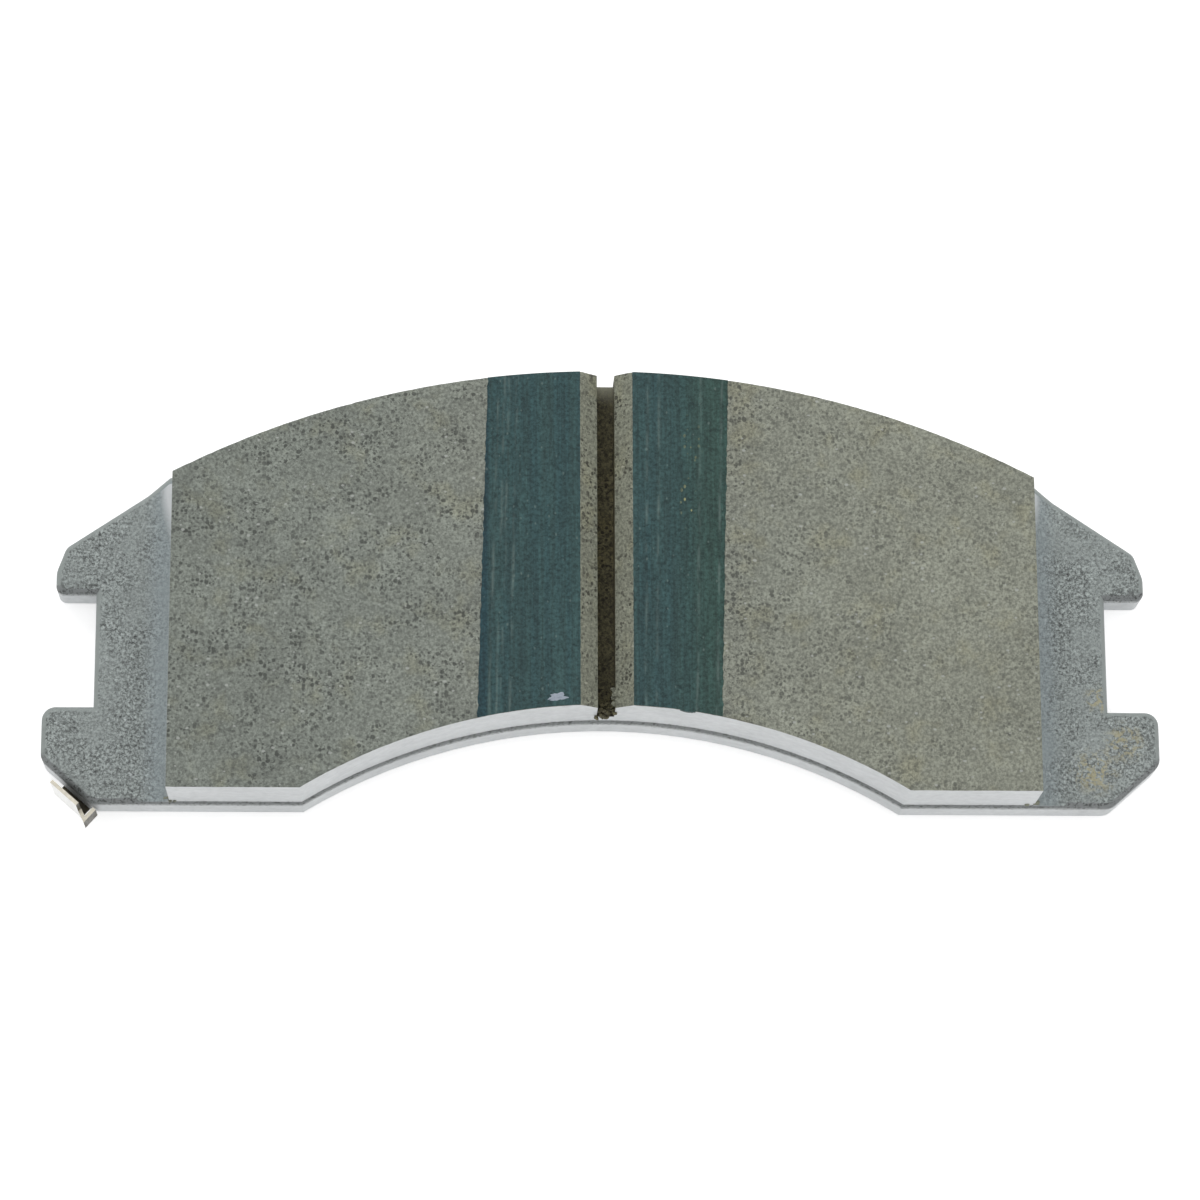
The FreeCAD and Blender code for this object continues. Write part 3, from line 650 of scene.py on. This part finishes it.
def make_piece(name: str, points: Sequence[Point], faces: Sequence[Sequence[int]],
               materials: Sequence[bpy.types.Material], zones: Sequence[int] | None = None,
               smooth: bool = True) -> bpy.types.Object:
    """Make a mesh piece that rides on the pad and takes its finish from a slot.

    Args:
        name: the piece's name.
        points: its vertices, in metres.
        faces: the vertex numbers of each face.
        materials: the piece's materials.
        zones: the material number of each face, or None for the first.
        smooth: whether faces shade smoothly up to sharp edges.

    Returns:
        The piece.
    """
    mesh = bpy.data.meshes.new(name)
    mesh.from_pydata(points, [], faces)
    for material in materials:
        mesh.materials.append(material)
    if zones is not None:
        mesh.polygons.foreach_set("material_index", zones)
    shape = bmesh.new()
    shape.from_mesh(mesh)
    bmesh.ops.remove_doubles(shape, verts=shape.verts, dist=0.002 * MM)
    holes = [edge for edge in shape.edges if edge.is_boundary]
    if holes:
        bmesh.ops.holes_fill(shape, edges=holes)
    bmesh.ops.recalc_face_normals(shape, faces=shape.faces)
    shape.to_mesh(mesh)
    shape.free()
    mesh.polygons.foreach_set("use_smooth", [smooth] * len(mesh.polygons))
    mesh.set_sharp_from_angle(angle=math.radians(35.0))
    piece = bpy.data.objects.new(name, mesh)
    bpy.context.scene.collection.objects.link(piece)
    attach(piece, BODY)
    return piece


def dress_nodes(nodes: Iterable[str], material: bpy.types.Material) -> None:
    """Give carried-over nodes one material in all their slots."""
    for node in nodes:
        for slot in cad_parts[node].material_slots:
            slot.material = material
        LOG.info("%s: dressed in %s", node, material.name)


def slab_faces(wide: int, deep: int) -> list[tuple[int, ...]]:
    """Close an upper and a lower grid of points, given one after the other, into a slab.

    Args:
        wide: the points in a row.
        deep: the rows of each grid.

    Returns:
        The faces of both grids and of the rim between them.
    """
    count, last = wide * deep, deep - 1
    faces: list[tuple[int, ...]] = []
    for row in range(last):
        for number in range(wide - 1):
            a = row * wide + number
            quad = (a, a + 1, a + wide + 1, a + wide)
            faces.append(quad)
            faces.append(tuple(count + vertex for vertex in reversed(quad)))
    rim = (list(range(wide)) + [row * wide + wide - 1 for row in range(1, deep)]
           + [last * wide + number for number in range(wide - 2, -1, -1)]
           + [row * wide for row in range(last - 1, 0, -1)])
    for a, b in zip(rim, rim[1:] + rim[:1]):
        faces.append((a, b, count + b, count + a))
    return faces


def steps(start: float, end: float, most: float) -> list[float]:
    """Return evenly spaced places from start to end, no further apart than most."""
    count = max(1, math.ceil(abs(end - start) / most))
    return [start + (end - start) * number / count for number in range(count + 1)]


def waver(place: Point, scale: float, seed: float = 0.0) -> float:
    """Return smooth noise from -1 to 1, of the given features per metre."""
    return noise.noise(Vector(place) * scale + Vector((seed, seed, seed)))


@dataclass(frozen=True)
class PadArcs:
    """The outline of the friction: two arcs about the rotor's axis and straight lower edges."""

    low: Vector
    high: Vector
    outer: float = 120.0 * MM
    inner: float = 75.0 * MM

    @property
    def axis(self) -> float:
        """Y of the rotor's axis."""
        return self.high.y - self.outer

    def upper(self, across: float) -> float:
        """Return Y of the outer edge at an X."""
        return self.axis + math.sqrt(self.outer**2 - across**2)

    def lower(self, across: float) -> float:
        """Return Y of the inner edge at an X."""
        inside = self.inner**2 - across**2
        return max(self.low.y, self.axis + math.sqrt(inside)) if inside > 0 else self.low.y


@dataclass
class FrictionBlock:
    """The moulded friction: ground face, bevelled slot, painted sides, flash and crumbs."""

    effects: Effects
    slot_middle: float
    slot_mouth: float
    slot_width: float = 2.3 * MM
    slot_depth: float = 6.9 * MM
    slot_bevel: float = 1.9 * MM
    cell: float = 0.55 * MM
    edge_round: float = 0.13 * MM
    chips: int = 150
    foot_reach: float = 4.2 * MM
    foot_height: float = 1.25 * MM
    arcs: PadArcs = field(init=False)

    def __post_init__(self) -> None:
        """Take the outline from the frame and make the finishes."""
        self.arcs = PadArcs(*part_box("friction_block"))
        self.plate_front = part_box("backing_plate")[1].z
        self.face = CompoundFinish("ground_compound", (0.232, 0.254, 0.224, 1), (0.278, 0.290, 0.238, 1),
                                   (0.034, 0.037, 0.033, 1), (0.50, 0.52, 0.49, 1)).build(self.effects)
        self.bevel = CompoundFinish("bevel_compound", (0.235, 0.244, 0.190, 1), (0.25, 0.262, 0.205, 1),
                                    (0.055, 0.055, 0.042, 1), (0.45, 0.45, 0.36, 1),
                                    speck_share=0.95).build(self.effects)
        self.slot = CompoundFinish("slot_compound", (0.125, 0.115, 0.064, 1), (0.125, 0.115, 0.064, 1),
                                   (0.018, 0.014, 0.008, 1), (0.25, 0.22, 0.14, 1), mottle=0.9,
                                   speck_share=0.9, grit=0.75, pale_end=self.arcs.high.y).build(self.effects)
        self.paint = PaintFinish("side_paint", PALE_PAINT_AND_SHEEN, (0.44, 0.46, 0.47, 1), speckle=0.05,
                                 roughness=0.42).build(self.effects)

    def build(self) -> None:
        """Build every piece of the friction."""
        self.build_block()
        for end in End:
            self.build_foot(end)
            self.build_corner_flash(end)
        self.build_crumbs()
        dress_nodes(["underlayer"], self.paint)

    def section(self) -> tuple[list[tuple[float, float]], list[Zone]]:
        """Return the front's section along X, as (X, Z) places, and the zone of each step."""
        low, high = self.arcs.low, self.arcs.high
        mouth, wall = self.slot_mouth / 2, self.slot_width / 2
        foot, floor = high.z - self.slot_bevel, high.z - self.slot_depth
        middle = self.slot_middle
        turns = [
            (low.x, high.z, Zone.FACE), (low.x + 1.5 * self.edge_round, high.z, Zone.FACE),
            (middle - mouth, high.z, Zone.BEVEL), (middle - wall, foot, Zone.SLOT),
            (middle - wall, floor, Zone.SLOT), (middle + wall, floor, Zone.SLOT),
            (middle + wall, foot, Zone.BEVEL), (middle + mouth, high.z, Zone.FACE),
            (high.x - 1.5 * self.edge_round, high.z, Zone.FACE), (high.x, high.z, Zone.FACE),
        ]
        places: list[tuple[float, float]] = [(turns[0][0], turns[0][1])]
        zones: list[Zone] = []
        for (x0, z0, zone), (x1, z1, _) in zip(turns, turns[1:]):
            count = max(1, math.ceil(math.hypot(x1 - x0, z1 - z0) / self.cell))
            for number in range(1, count + 1):
                share = number / count
                places.append((x0 + (x1 - x0) * share, z0 + (z1 - z0) * share))
                zones.append(zone)
        return places, zones

    def rows(self) -> list[float]:
        """Return the shares of the way from inner to outer edge at which the rows lie."""
        height = self.arcs.upper(0.0) - self.arcs.lower(0.0)
        rim = 1.5 * self.edge_round / height
        return [0.0] + steps(rim, 1 - rim, self.cell / height) + [1.0]

    def build_block(self) -> None:
        """Build the block as one closed mesh with worn edges and small chips."""
        places, zones = self.section()
        rows, floor = self.rows(), self.arcs.low.z
        last_row, last_place = len(rows) - 1, len(places) - 1
        levels = steps(0.0, 1.0, 0.12)[1:]
        points: list[Point] = []
        faces: list[tuple[int, ...]] = []
        face_zones: list[int] = []
        top: list[list[int]] = []
        for number, (x, z) in enumerate(places):
            low_y, high_y = self.arcs.lower(x), self.arcs.upper(x)
            column = []
            for row, share in enumerate(rows):
                y = low_y + (high_y - low_y) * share
                rim = row in (0, last_row) or number in (0, last_place)
                drop = self.edge_round * (1.0 + 0.5 * waver((x, y, 0), 900)) if rim else 0.0
                column.append(len(points))
                points.append((x, y, z - drop))
            top.append(column)
        for number, zone in enumerate(zones):
            for row in range(last_row):
                faces.append((top[number][row], top[number + 1][row], top[number + 1][row + 1],
                              top[number][row + 1]))
                face_zones.append(zone.value)
        rim_lines = ([column[0] for column in top], [column[-1] for column in top], top[0], top[-1])
        for line in rim_lines:
            above = list(line)
            for level in levels:
                below = []
                for vertex in line:
                    x, y, z = points[vertex]
                    below.append(len(points))
                    points.append((x, y, z + (floor - z) * level))
                for a, b, c, d in zip(above, above[1:], below[1:], below):
                    faces.append((a, b, c, d))
                    face_zones.append(Zone.SIDE.value)
                above = below
        points = self.wear(points)
        piece = make_piece("friction_body", points, faces,
                           [self.face, self.paint, self.bevel, self.slot], face_zones)
        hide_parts("friction_block")
        LOG.info("%s: %d faces", piece.name, len(piece.data.polygons))

    def wear(self, points: list[Point]) -> list[Point]:
        """Press small chips into the edges and leave the surface slightly uneven.

        Args:
            points: the vertices of the whole block.

        Returns:
            The worn vertices.
        """
        draw = random.Random(11)
        places: list[tuple[Vector, float, float]] = []
        for _ in range(self.chips):
            x = draw.uniform(self.arcs.low.x, self.arcs.high.x)
            edge = draw.choice((self.arcs.upper, self.arcs.lower))
            places.append((Vector((x, edge(x), self.arcs.high.z)), draw.uniform(0.4, 0.7) * MM,
                           draw.uniform(0.04, 0.14) * MM))
        for _ in range(self.chips // 2):
            y = draw.uniform(self.arcs.lower(self.slot_middle), self.arcs.upper(self.slot_middle))
            side = draw.choice((-1, 1))
            places.append((Vector((self.slot_middle + side * self.slot_width / 2, y,
                                   self.arcs.high.z - self.slot_bevel)),
                           draw.uniform(0.4, 0.9) * MM, draw.uniform(0.06, 0.22) * MM))
        worn = []
        for x, y, z in points:
            place = Vector((x, y, z))
            for centre, reach, depth in places:
                if abs(centre.x - x) < reach and abs(centre.y - y) < reach and z > self.arcs.low.z + MM:
                    gap = (place - centre).length
                    if gap < reach:
                        place.z -= depth * (1 - gap / reach)
            if self.arcs.low.z + 0.2 * MM < place.z:
                place.z -= 0.010 * MM * (1 + waver((x, y, z), 400.0))
            worn.append(tuple(place))
        return worn

    def build_foot(self, end: End) -> None:
        """Build the painted fillet where the moulding runs out onto an ear.

        Args:
            end: the end of the pad.
        """
        wall = self.arcs.high.x - 0.05 * MM
        foot, head = self.arcs.low.y - 0.1 * MM, self.arcs.upper(wall) + 0.7 * MM
        shoulder, fall = 57.3 * MM, 0.9
        base = self.plate_front - 0.12 * MM
        points: list[Point] = []
        across, along = 14, 76
        for row in range(along + 1):
            share = row / along
            ends = min(1.0, share * 9, (1 - share) * 11)
            for number in range(across + 1):
                out = number / across
                x = wall + self.foot_reach * out * (1 + 0.10 * waver((end.value, share, 0), 14.0))
                top = head - max(0.0, x - shoulder) * fall
                y = foot + (top - foot) * share
                rise = self.foot_height * (1 - out) ** 2.4 * (0.25 + 0.75 * math.sin(ends * math.pi / 2))
                lump = 0.02 * MM * waver((x, y, 0), 700.0) * (1 - out)
                points.append((end.value * x, y, self.plate_front + 0.015 * MM + rise + lump))
        points += [(x, y, base) for x, y, _ in points]
        faces = slab_faces(across + 1, along + 1)
        name = f"moulded_foot_{end.name.lower()}"
        make_piece(name, points, faces, [self.foot_paint()])
        LOG.info("%s: painted fillet", name)

    def foot_paint(self) -> bpy.types.Material:
        """Return the smooth paint of the moulded fillets, made once."""
        made = bpy.data.materials.get("foot_paint")
        if made:
            return made
        return PaintFinish("foot_paint", EAR_PAINT, PAINT_PITS, clear_band=CLEAR_BAND,
                           wall=self.arcs.high.x).build(self.effects)

    def lump(self, centre: Vector, size: Vector, seed: float) -> tuple[list[Point], list[tuple[int, ...]]]:
        """Return a ragged grain of compound.

        Args:
            centre: the middle of the grain.
            size: its half extents.
            seed: chooses its shape.

        Returns:
            Its points and faces.
        """
        rings, around = 5, 8
        points: list[Point] = [tuple(centre + Vector((0, 0, -size.z)))]
        for ring in range(1, rings):
            tilt = math.pi * ring / rings
            for turn in range(around):
                angle = 2 * math.pi * turn / around
                way = Vector((math.sin(tilt) * math.cos(angle), math.sin(tilt) * math.sin(angle),
                              -math.cos(tilt)))
                swell = 1 + 0.55 * noise.noise(way * 1.7 + Vector((seed, 0, 0)))
                points.append(tuple(centre + Vector(p * q * swell for p, q in zip(way, size))))
        points.append(tuple(centre + Vector((0, 0, size.z))))
        faces: list[tuple[int, ...]] = []
        for turn in range(around):
            after = (turn + 1) % around
            faces.append((0, 1 + after, 1 + turn))
            for ring in range(rings - 2):
                a, b = 1 + ring * around + turn, 1 + ring * around + after
                faces.append((a, b, b + around, a + around))
            tail = 1 + (rings - 2) * around
            faces.append((tail + turn, tail + after, len(points) - 1))
        return points, faces

    def gather(self, name: str, grains: Iterable[tuple[Vector, Vector, float]],
               material: bpy.types.Material) -> None:
        """Make one piece of several grains.

        Args:
            name: the piece's name.
            grains: each grain's centre, half extents and seed.
            material: their finish.
        """
        points: list[Point] = []
        faces: list[tuple[int, ...]] = []
        for centre, size, seed in grains:
            more, sides = self.lump(centre, size, seed)
            faces += [tuple(len(points) + vertex for vertex in side) for side in sides]
            points += more
        make_piece(name, points, faces, [material])
        LOG.info("%s: %d faces", name, len(faces))

    @staticmethod
    def grain_size(draw: random.Random, *ranges: tuple[float, float]) -> Vector:
        """Draw a grain's half extents from ranges in millimetres."""
        return Vector([draw.uniform(*span) for span in ranges]) * MM

    def build_corner_flash(self, end: End) -> None:
        """Leave a few grains of flash at a lower corner of the moulding."""
        draw = random.Random(5 + end.value)
        grains = []
        for _ in range(7):
            centre = Vector((end.value * (self.arcs.high.x + draw.uniform(-1.2, 0.9) * MM),
                             self.arcs.low.y + draw.uniform(-0.10, 0.45) * MM,
                             self.plate_front + draw.uniform(0.1, 0.7) * MM))
            size = self.grain_size(draw, (0.2, 0.5), (0.15, 0.3), (0.15, 0.35))
            grains.append((centre, size, draw.uniform(0, 50)))
        self.gather(f"corner_flash_{end.name.lower()}", grains, self.bevel)

    def build_crumbs(self) -> None:
        """Pack crumbs of compound in the lower mouth of the slot."""
        draw = random.Random(23)
        edge = self.arcs.lower(self.slot_middle)
        floor = self.arcs.high.z - self.slot_depth
        grains = []
        for _ in range(34):
            out = draw.uniform(-0.5, 1.5) * MM
            heap = (3.0 * MM - abs(out)) * draw.uniform(0.05, 0.85)
            centre = Vector((self.slot_middle + draw.uniform(-1.3, 1.4) * MM, edge + out, floor + heap))
            size = self.grain_size(draw, (0.25, 0.5), (0.2, 0.45), (0.25, 0.5))
            grains.append((centre, size, draw.uniform(0, 50)))
        self.gather("slot_crumbs", grains, self.slot)
        pale = []
        slope = self.slot_bevel / (self.slot_mouth / 2 - self.slot_width / 2)
        for _ in range(18):
            out = draw.uniform(-0.25, 0.95) * MM
            rest = self.arcs.high.z - self.slot_bevel + out * slope
            centre = Vector((self.slot_middle + self.slot_width / 2 + out, edge + draw.uniform(0.5, 3.2) * MM,
                             rest - (0.0 if out > 0 else draw.uniform(0.1, 0.8) * MM)))
            size = self.grain_size(draw, (0.25, 0.42), (0.2, 0.40), (0.15, 0.30))
            pale.append((centre, size, draw.uniform(0, 50)))
        self.gather("bevel_crumbs", pale, self.bevel)


@dataclass
class BurnishCoating:
    """The two wiped stripes beside the slot, with a smear and a run."""

    effects: Effects
    arcs: PadArcs
    lean: float = 1.2 * MM
    cell: float = 0.16 * MM
    row: float = 0.55 * MM
    proud: float = 0.1 * MM

    def __post_init__(self) -> None:
        """Make the finish."""
        self.finish = CoatingFinish("burnish_coating", (0.036, 0.076, 0.080, 1), (0.041, 0.082, 0.082, 1),
                                    (0.20, 0.27, 0.25, 1)).build(self.effects)

    def build(self) -> None:
        """Build both stripes, the smear and the run."""
        ridges = {End.LEFT: (13.6, 14.5, 13.0, 11.9), End.RIGHT: (14.9, 5.4, 6.9, 12.2)}
        for end in End:
            self.build_stripe(end, [place * MM for place in ridges[end]])
        self.build_smear()
        self.build_run()

    def build_stripe(self, end: End, ridges: Sequence[float]) -> None:
        """Build one stripe with drawn ridges and ragged edges.

        Args:
            end: the side of the slot that it lies on.
            ridges: distances from mid length of its raised streaks.
        """
        node = f"coating_stripe_{end.name.lower()}"
        low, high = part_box(node)
        near, far = (abs(low.x), abs(high.x)) if end is End.RIGHT else (abs(high.x), abs(low.x))
        middle_far = far - self.lean / 2
        floor, top = low.z, high.z
        count = math.ceil((middle_far - near) / self.cell)
        rows = math.ceil((high.y - low.y) / self.row)
        points: list[Point] = []
        ridge_of: list[float] = []
        for row in range(rows + 1):
            share = row / rows
            turn = (share - 0.5) * self.lean * (1 if end is End.RIGHT else -1)
            rag = (0.14 * MM * waver((0, share, end.value), 45.0)
                   + 0.16 * MM * waver((1, share, end.value), 190.0))
            inner_rag = 0.06 * MM * waver((2, share, end.value), 120.0)
            for number in range(count + 1):
                out = number / count
                reach = near + 0.05 * MM + inner_rag * (1 - out) + (middle_far + turn + rag - near) * out
                x = end.value * reach
                y0, y1 = self.arcs.lower(x) + 0.02 * MM, self.arcs.upper(x) - 0.02 * MM
                y = y0 + (y1 - y0) * share
                crest = 0.0
                for place in ridges:
                    centre = place + turn * place / far + 0.10 * MM * waver((place * 99, share * 2, 3), 2.0)
                    crest = max(crest, 1 - abs(reach - centre) / (0.26 * MM))
                crest = max(0.0, crest) * (0.55 + 0.45 * waver((reach * 7, share * 6, 1), 3.0))
                edge = min(number, count - number, row, rows - row)
                body = 0.55 + 0.18 * waver((x * 6, y * 0.2, 0), 500.0)
                height = self.proud * (0.25 if edge == 0 else min(1.0, body + 0.4 * crest))
                points.append((x, y, floor + max(0.02 * MM, min(self.proud, height))))
                ridge_of.append(max(0.0, min(1.0, crest)))
        total = len(points)
        points += [(x, y, floor - 0.03 * MM) for x, y, _ in points]
        faces = slab_faces(count + 1, rows + 1)
        piece = make_piece(f"burnish_stripe_{end.name.lower()}", points, faces,
                           [self.finish])
        ridge = piece.data.attributes.new("ridge", "FLOAT", "POINT")
        values = ridge_of + [0.0] * total
        ridge.data.foreach_set("value", values[: len(piece.data.vertices)])
        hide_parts(node)
        LOG.info("%s: stripe from %.1f to %.1f mm, top %.2f mm", piece.name, near / MM, far / MM, top / MM)

    def build_smear(self) -> None:
        """Build the smear of blue-grey paint low on the left stripe."""
        middle = Vector((-6.2 * MM, -8.25 * MM, self.arcs.high.z + self.proud))
        finish = FilmFinish("paint_smear", (0.34, 0.39, 0.46, 1), (0.52, 0.56, 0.62, 1),
                            0.5).build(self.effects)
        points: list[Point] = [tuple(middle + Vector((0, 0, -0.012 * MM)))]
        faces: list[tuple[int, ...]] = []
        around, rings = 40, 6
        for ring in range(1, rings + 1):
            for turn in range(around):
                angle = 2 * math.pi * turn / around
                way = Vector((math.cos(angle), math.sin(angle), 0))
                ragged = 1 + 0.55 * noise.noise(way * 1.9 + Vector((4, 1, 0))) + 0.25 * noise.noise(way * 6)
                reach = Vector((1.35 * way.x, (0.62 if way.y > 0 else 0.42) * way.y + 0.12 * way.x, 0))
                place = middle + reach * MM * ragged * ring / rings
                lift = (0.03 * math.sin(ring * 1.9 + turn * 0.7) - 0.015) * MM if ring < rings else -0.09 * MM
                points.append((place.x, place.y, min(middle.z + lift, middle.z)))
        for turn in range(around):
            after = (turn + 1) % around
            faces.append((0, 1 + turn, 1 + after))
            for ring in range(rings - 1):
                a, b = 1 + ring * around + turn, 1 + ring * around + after
                faces.append((a, a + around, b + around, b))
        make_piece("paint_smear", points, faces, [finish])
        LOG.info("paint_smear: low on the left stripe")

    def build_run(self) -> None:
        """Build the small run of coating over the lower edge of the right stripe."""
        points: list[Point] = []
        left, right, depth = 9.6 * MM, 11.6 * MM, 1.2 * MM
        top = self.arcs.high.z + 0.5 * self.proud
        across, down = 18, 7
        for level in range(down + 1):
            fall = level / down
            for number in range(across + 1):
                share = number / across
                x = left + (right - left) * share
                hang = depth * (0.45 + 0.4 * math.sin(share * math.pi) + 0.25 * waver((share, 0, 9), 7.0))
                proud = 0.16 * MM * math.sin(math.pi * (0.15 + 0.8 * share)) * (1 - 0.5 * fall)
                points.append((x, self.arcs.lower(x) - proud, top - hang * fall))
        points += [(x, self.arcs.lower(x) + 0.15 * MM, z) for x, _, z in points]
        faces = slab_faces(across + 1, down + 1)
        make_piece("coating_run", points, faces, [self.finish])
        LOG.info("coating_run: over the lower edge of the right stripe")


@dataclass
class BackingPlate:
    """The stamped plate in its thin speckled paint."""

    effects: Effects

    def dress(self) -> None:
        """Paint the plate."""
        # roll: painted shade, dark and speckled, on the plate's rolled edges facing -Y
        paint = PaintFinish("plate_paint", EAR_PAINT, PAINT_PITS, roll=(0.225, 0.240, 0.240, 1),
                            stain=(0.42, 0.385, 0.235, 1), clear_band=CLEAR_BAND)
        dress_nodes(["backing_plate"], paint.build(self.effects))


@dataclass
class WearIndicator:
    """The folded spring strip and its rivet."""

    effects: Effects
    cut_along: float = 6.6 * MM
    cut_up: float = 5.8 * MM

    def dress(self) -> None:
        """Give both their plated steel; the strip's painted shade follows the slope of the cut corner it
        passes.
        """
        inward = Vector((self.cut_up, self.cut_along, 0.0)).normalized()
        # Near-white outside: partly painted reflection; cream edge: painted highlight; dark inside: painted
        # shade
        strip = StripFinish("passivated_steel", (0.93, 0.93, 0.91, 1), (0.72, 0.68, 0.57, 1),
                            (0.045, 0.038, 0.020, 1), inward)
        rivet = SteelFinish("rivet_steel", (0.66, 0.66, 0.64, 1), (0.36, 0.35, 0.32, 1), 0.36)
        dress_nodes(["wear_indicator"], strip.build(self.effects))
        dress_nodes(["wear_indicator_rivet"], rivet.build(self.effects))


@dataclass
class BondedShim:
    """The four layers bonded to the back of the plate."""

    effects: Effects

    def dress(self) -> None:
        """Dress each layer."""
        rubber = FilmFinish("nitrile_coating", (0.032, 0.033, 0.036, 1), (0.10, 0.10, 0.095, 1), 0.55)
        glue = FilmFinish("adhesive_film", (0.19, 0.18, 0.15, 1), (0.28, 0.27, 0.24, 1), 0.5)
        core = SteelFinish("shim_steel", (0.50, 0.50, 0.51, 1), (0.34, 0.33, 0.31, 1), 0.38, (0.05, 1.0, 1.0))
        dress_nodes(["shim_outer_coat", "shim_damping_layer"], rubber.build(self.effects))
        dress_nodes(["shim_adhesive"], glue.build(self.effects))
        dress_nodes(["shim_steel_core"], core.build(self.effects))


@dataclass
class Studio:
    """Floor, light and camera."""

    target: Vector = field(default_factory=lambda: Vector((-0.089, 8.8, 0.0)) * MM)
    distance: float = 570.0 * MM
    elevation: float = math.radians(14.5)
    azimuth: float = math.radians(2.3)
    roll: float = math.radians(-0.20)
    lens: float = 128.07
    ambient: float = 0.62
    key_power: float = 3.2
    fill_power: float = 1.0
    key_place: Vector = field(default_factory=lambda: Vector((-0.25, 0.75, 0.75)))
    fill_place: Vector = field(default_factory=lambda: Vector((0.55, -0.55, 0.65)))
    floor_glow: float = 0.55

    def build(self) -> None:
        """Set the whole studio."""
        self.build_world()
        self.build_floor()
        self.build_lamp("key", self.key_place, 0.7, self.key_power)
        self.build_lamp("fill", self.fill_place, 0.8, self.fill_power)
        self.build_camera()
        bpy.context.scene.view_settings.view_transform = "Standard"

    def _shown_white(self, graph: Graph) -> Socket:
        """Return 1 for the rays that see the background directly or in a reflection."""
        path = graph.add("ShaderNodeLightPath").outputs
        seen = graph.maths("MAXIMUM", path["Is Camera Ray"], path["Is Glossy Ray"])
        return graph.maths("MAXIMUM", seen, path["Is Transmission Ray"])

    def build_world(self) -> None:
        """Light the pad evenly from all round, before a white background."""
        world = bpy.data.worlds.new("studio_air")
        world.use_nodes = True
        world.node_tree.nodes.clear()
        graph = Graph(world.node_tree)
        level = graph.grade(self._shown_white(graph), 0.0, 1.0, self.ambient, 1.0)
        air = graph.add("ShaderNodeBackground", {"Color": (1, 1, 1, 1), "Strength": level})
        graph.add("ShaderNodeOutputWorld", {"Surface": air.outputs[0]})
        bpy.context.scene.world = world

    def build_floor(self) -> None:
        """Lay a plain pale floor under the pad."""
        half, level = 3.0, -0.1 * MM
        mesh = bpy.data.meshes.new("floor")
        places = steps(-half, half, 0.5)
        wide = len(places)
        points = [(x, y, level) for y in places for x in places]
        faces = [(row * wide + n, row * wide + n + 1, (row + 1) * wide + n + 1, (row + 1) * wide + n)
                 for row in range(wide - 1) for n in range(wide - 1)]
        mesh.from_pydata(points, [], faces)
        floor = bpy.data.objects.new("floor", mesh)
        bpy.context.scene.collection.objects.link(floor)
        material, graph = new_material("floor_card")
        shown = self._shown_white(graph)
        glow = graph.times(shown, self.floor_glow)
        inputs = {"Base Color": (0.86, 0.86, 0.86, 1), "Roughness": 1.0, "Specular IOR Level": 0.0,
                  "Emission Color": (1, 1, 1, 1), "Emission Strength": glow}
        card = graph.add("ShaderNodeBsdfPrincipled", inputs)
        graph.add("ShaderNodeOutputMaterial", {"Surface": card.outputs[0]})
        mesh.materials.append(material)

    def build_lamp(self, name: str, place: Vector, size: float, power: float) -> None:
        """Hang a soft square lamp that faces the pad.

        Args:
            name: the lamp's name.
            place: where it hangs, in metres.
            size: its side.
            power: its power in watts.
        """
        light = bpy.data.lights.new(name, "AREA")
        light.shape = "SQUARE"
        light.size = size
        light.energy = power
        lamp = bpy.data.objects.new(name, light)
        lamp.location = place
        lamp.rotation_euler = (self.target - place).to_track_quat("-Z", "Y").to_euler()
        bpy.context.scene.collection.objects.link(lamp)

    def build_camera(self) -> None:
        """Look down on the friction face, a little from the inner edge."""
        rise, swing = self.elevation, self.azimuth
        back = Vector((-math.sin(swing) * math.cos(rise), -math.sin(rise),
                       math.cos(rise) * math.cos(swing))).normalized()
        right = Vector((0, 1, 0)).cross(back).normalized()
        up = back.cross(right)
        turned = right * math.cos(self.roll) + up * math.sin(self.roll)
        data = bpy.data.cameras.new("camera")
        data.lens = self.lens
        data.sensor_width = 36.0
        data.clip_start, data.clip_end = 0.01, 20.0
        camera = bpy.data.objects.new("camera", data)
        place = self.target + back * self.distance
        camera.matrix_world = self._frame(turned, back.cross(turned), back, place)
        bpy.context.scene.collection.objects.link(camera)
        bpy.context.scene.camera = camera

    @staticmethod
    def _frame(right: Vector, up: Vector, back: Vector, place: Vector) -> Matrix:
        """Return a placement from its three axes and its place."""
        rows = [(right[n], up[n], back[n], place[n]) for n in range(3)] + [(0, 0, 0, 1)]
        return Matrix(rows)


def main() -> None:
    """Build the studio and every sub-assembly of the pad, in order."""
    logging.basicConfig(level=logging.INFO, format="%(name)s %(message)s")
    effects = Effects()
    Studio().build()
    left_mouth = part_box("coating_stripe_left")[1].x
    right_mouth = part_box("coating_stripe_right")[0].x
    friction = FrictionBlock(effects, (left_mouth + right_mouth) / 2, right_mouth - left_mouth)
    friction.build()
    BurnishCoating(effects, friction.arcs).build()
    BackingPlate(effects).dress()
    WearIndicator(effects).dress()
    BondedShim(effects).dress()


if __name__ == "__main__":
    main()
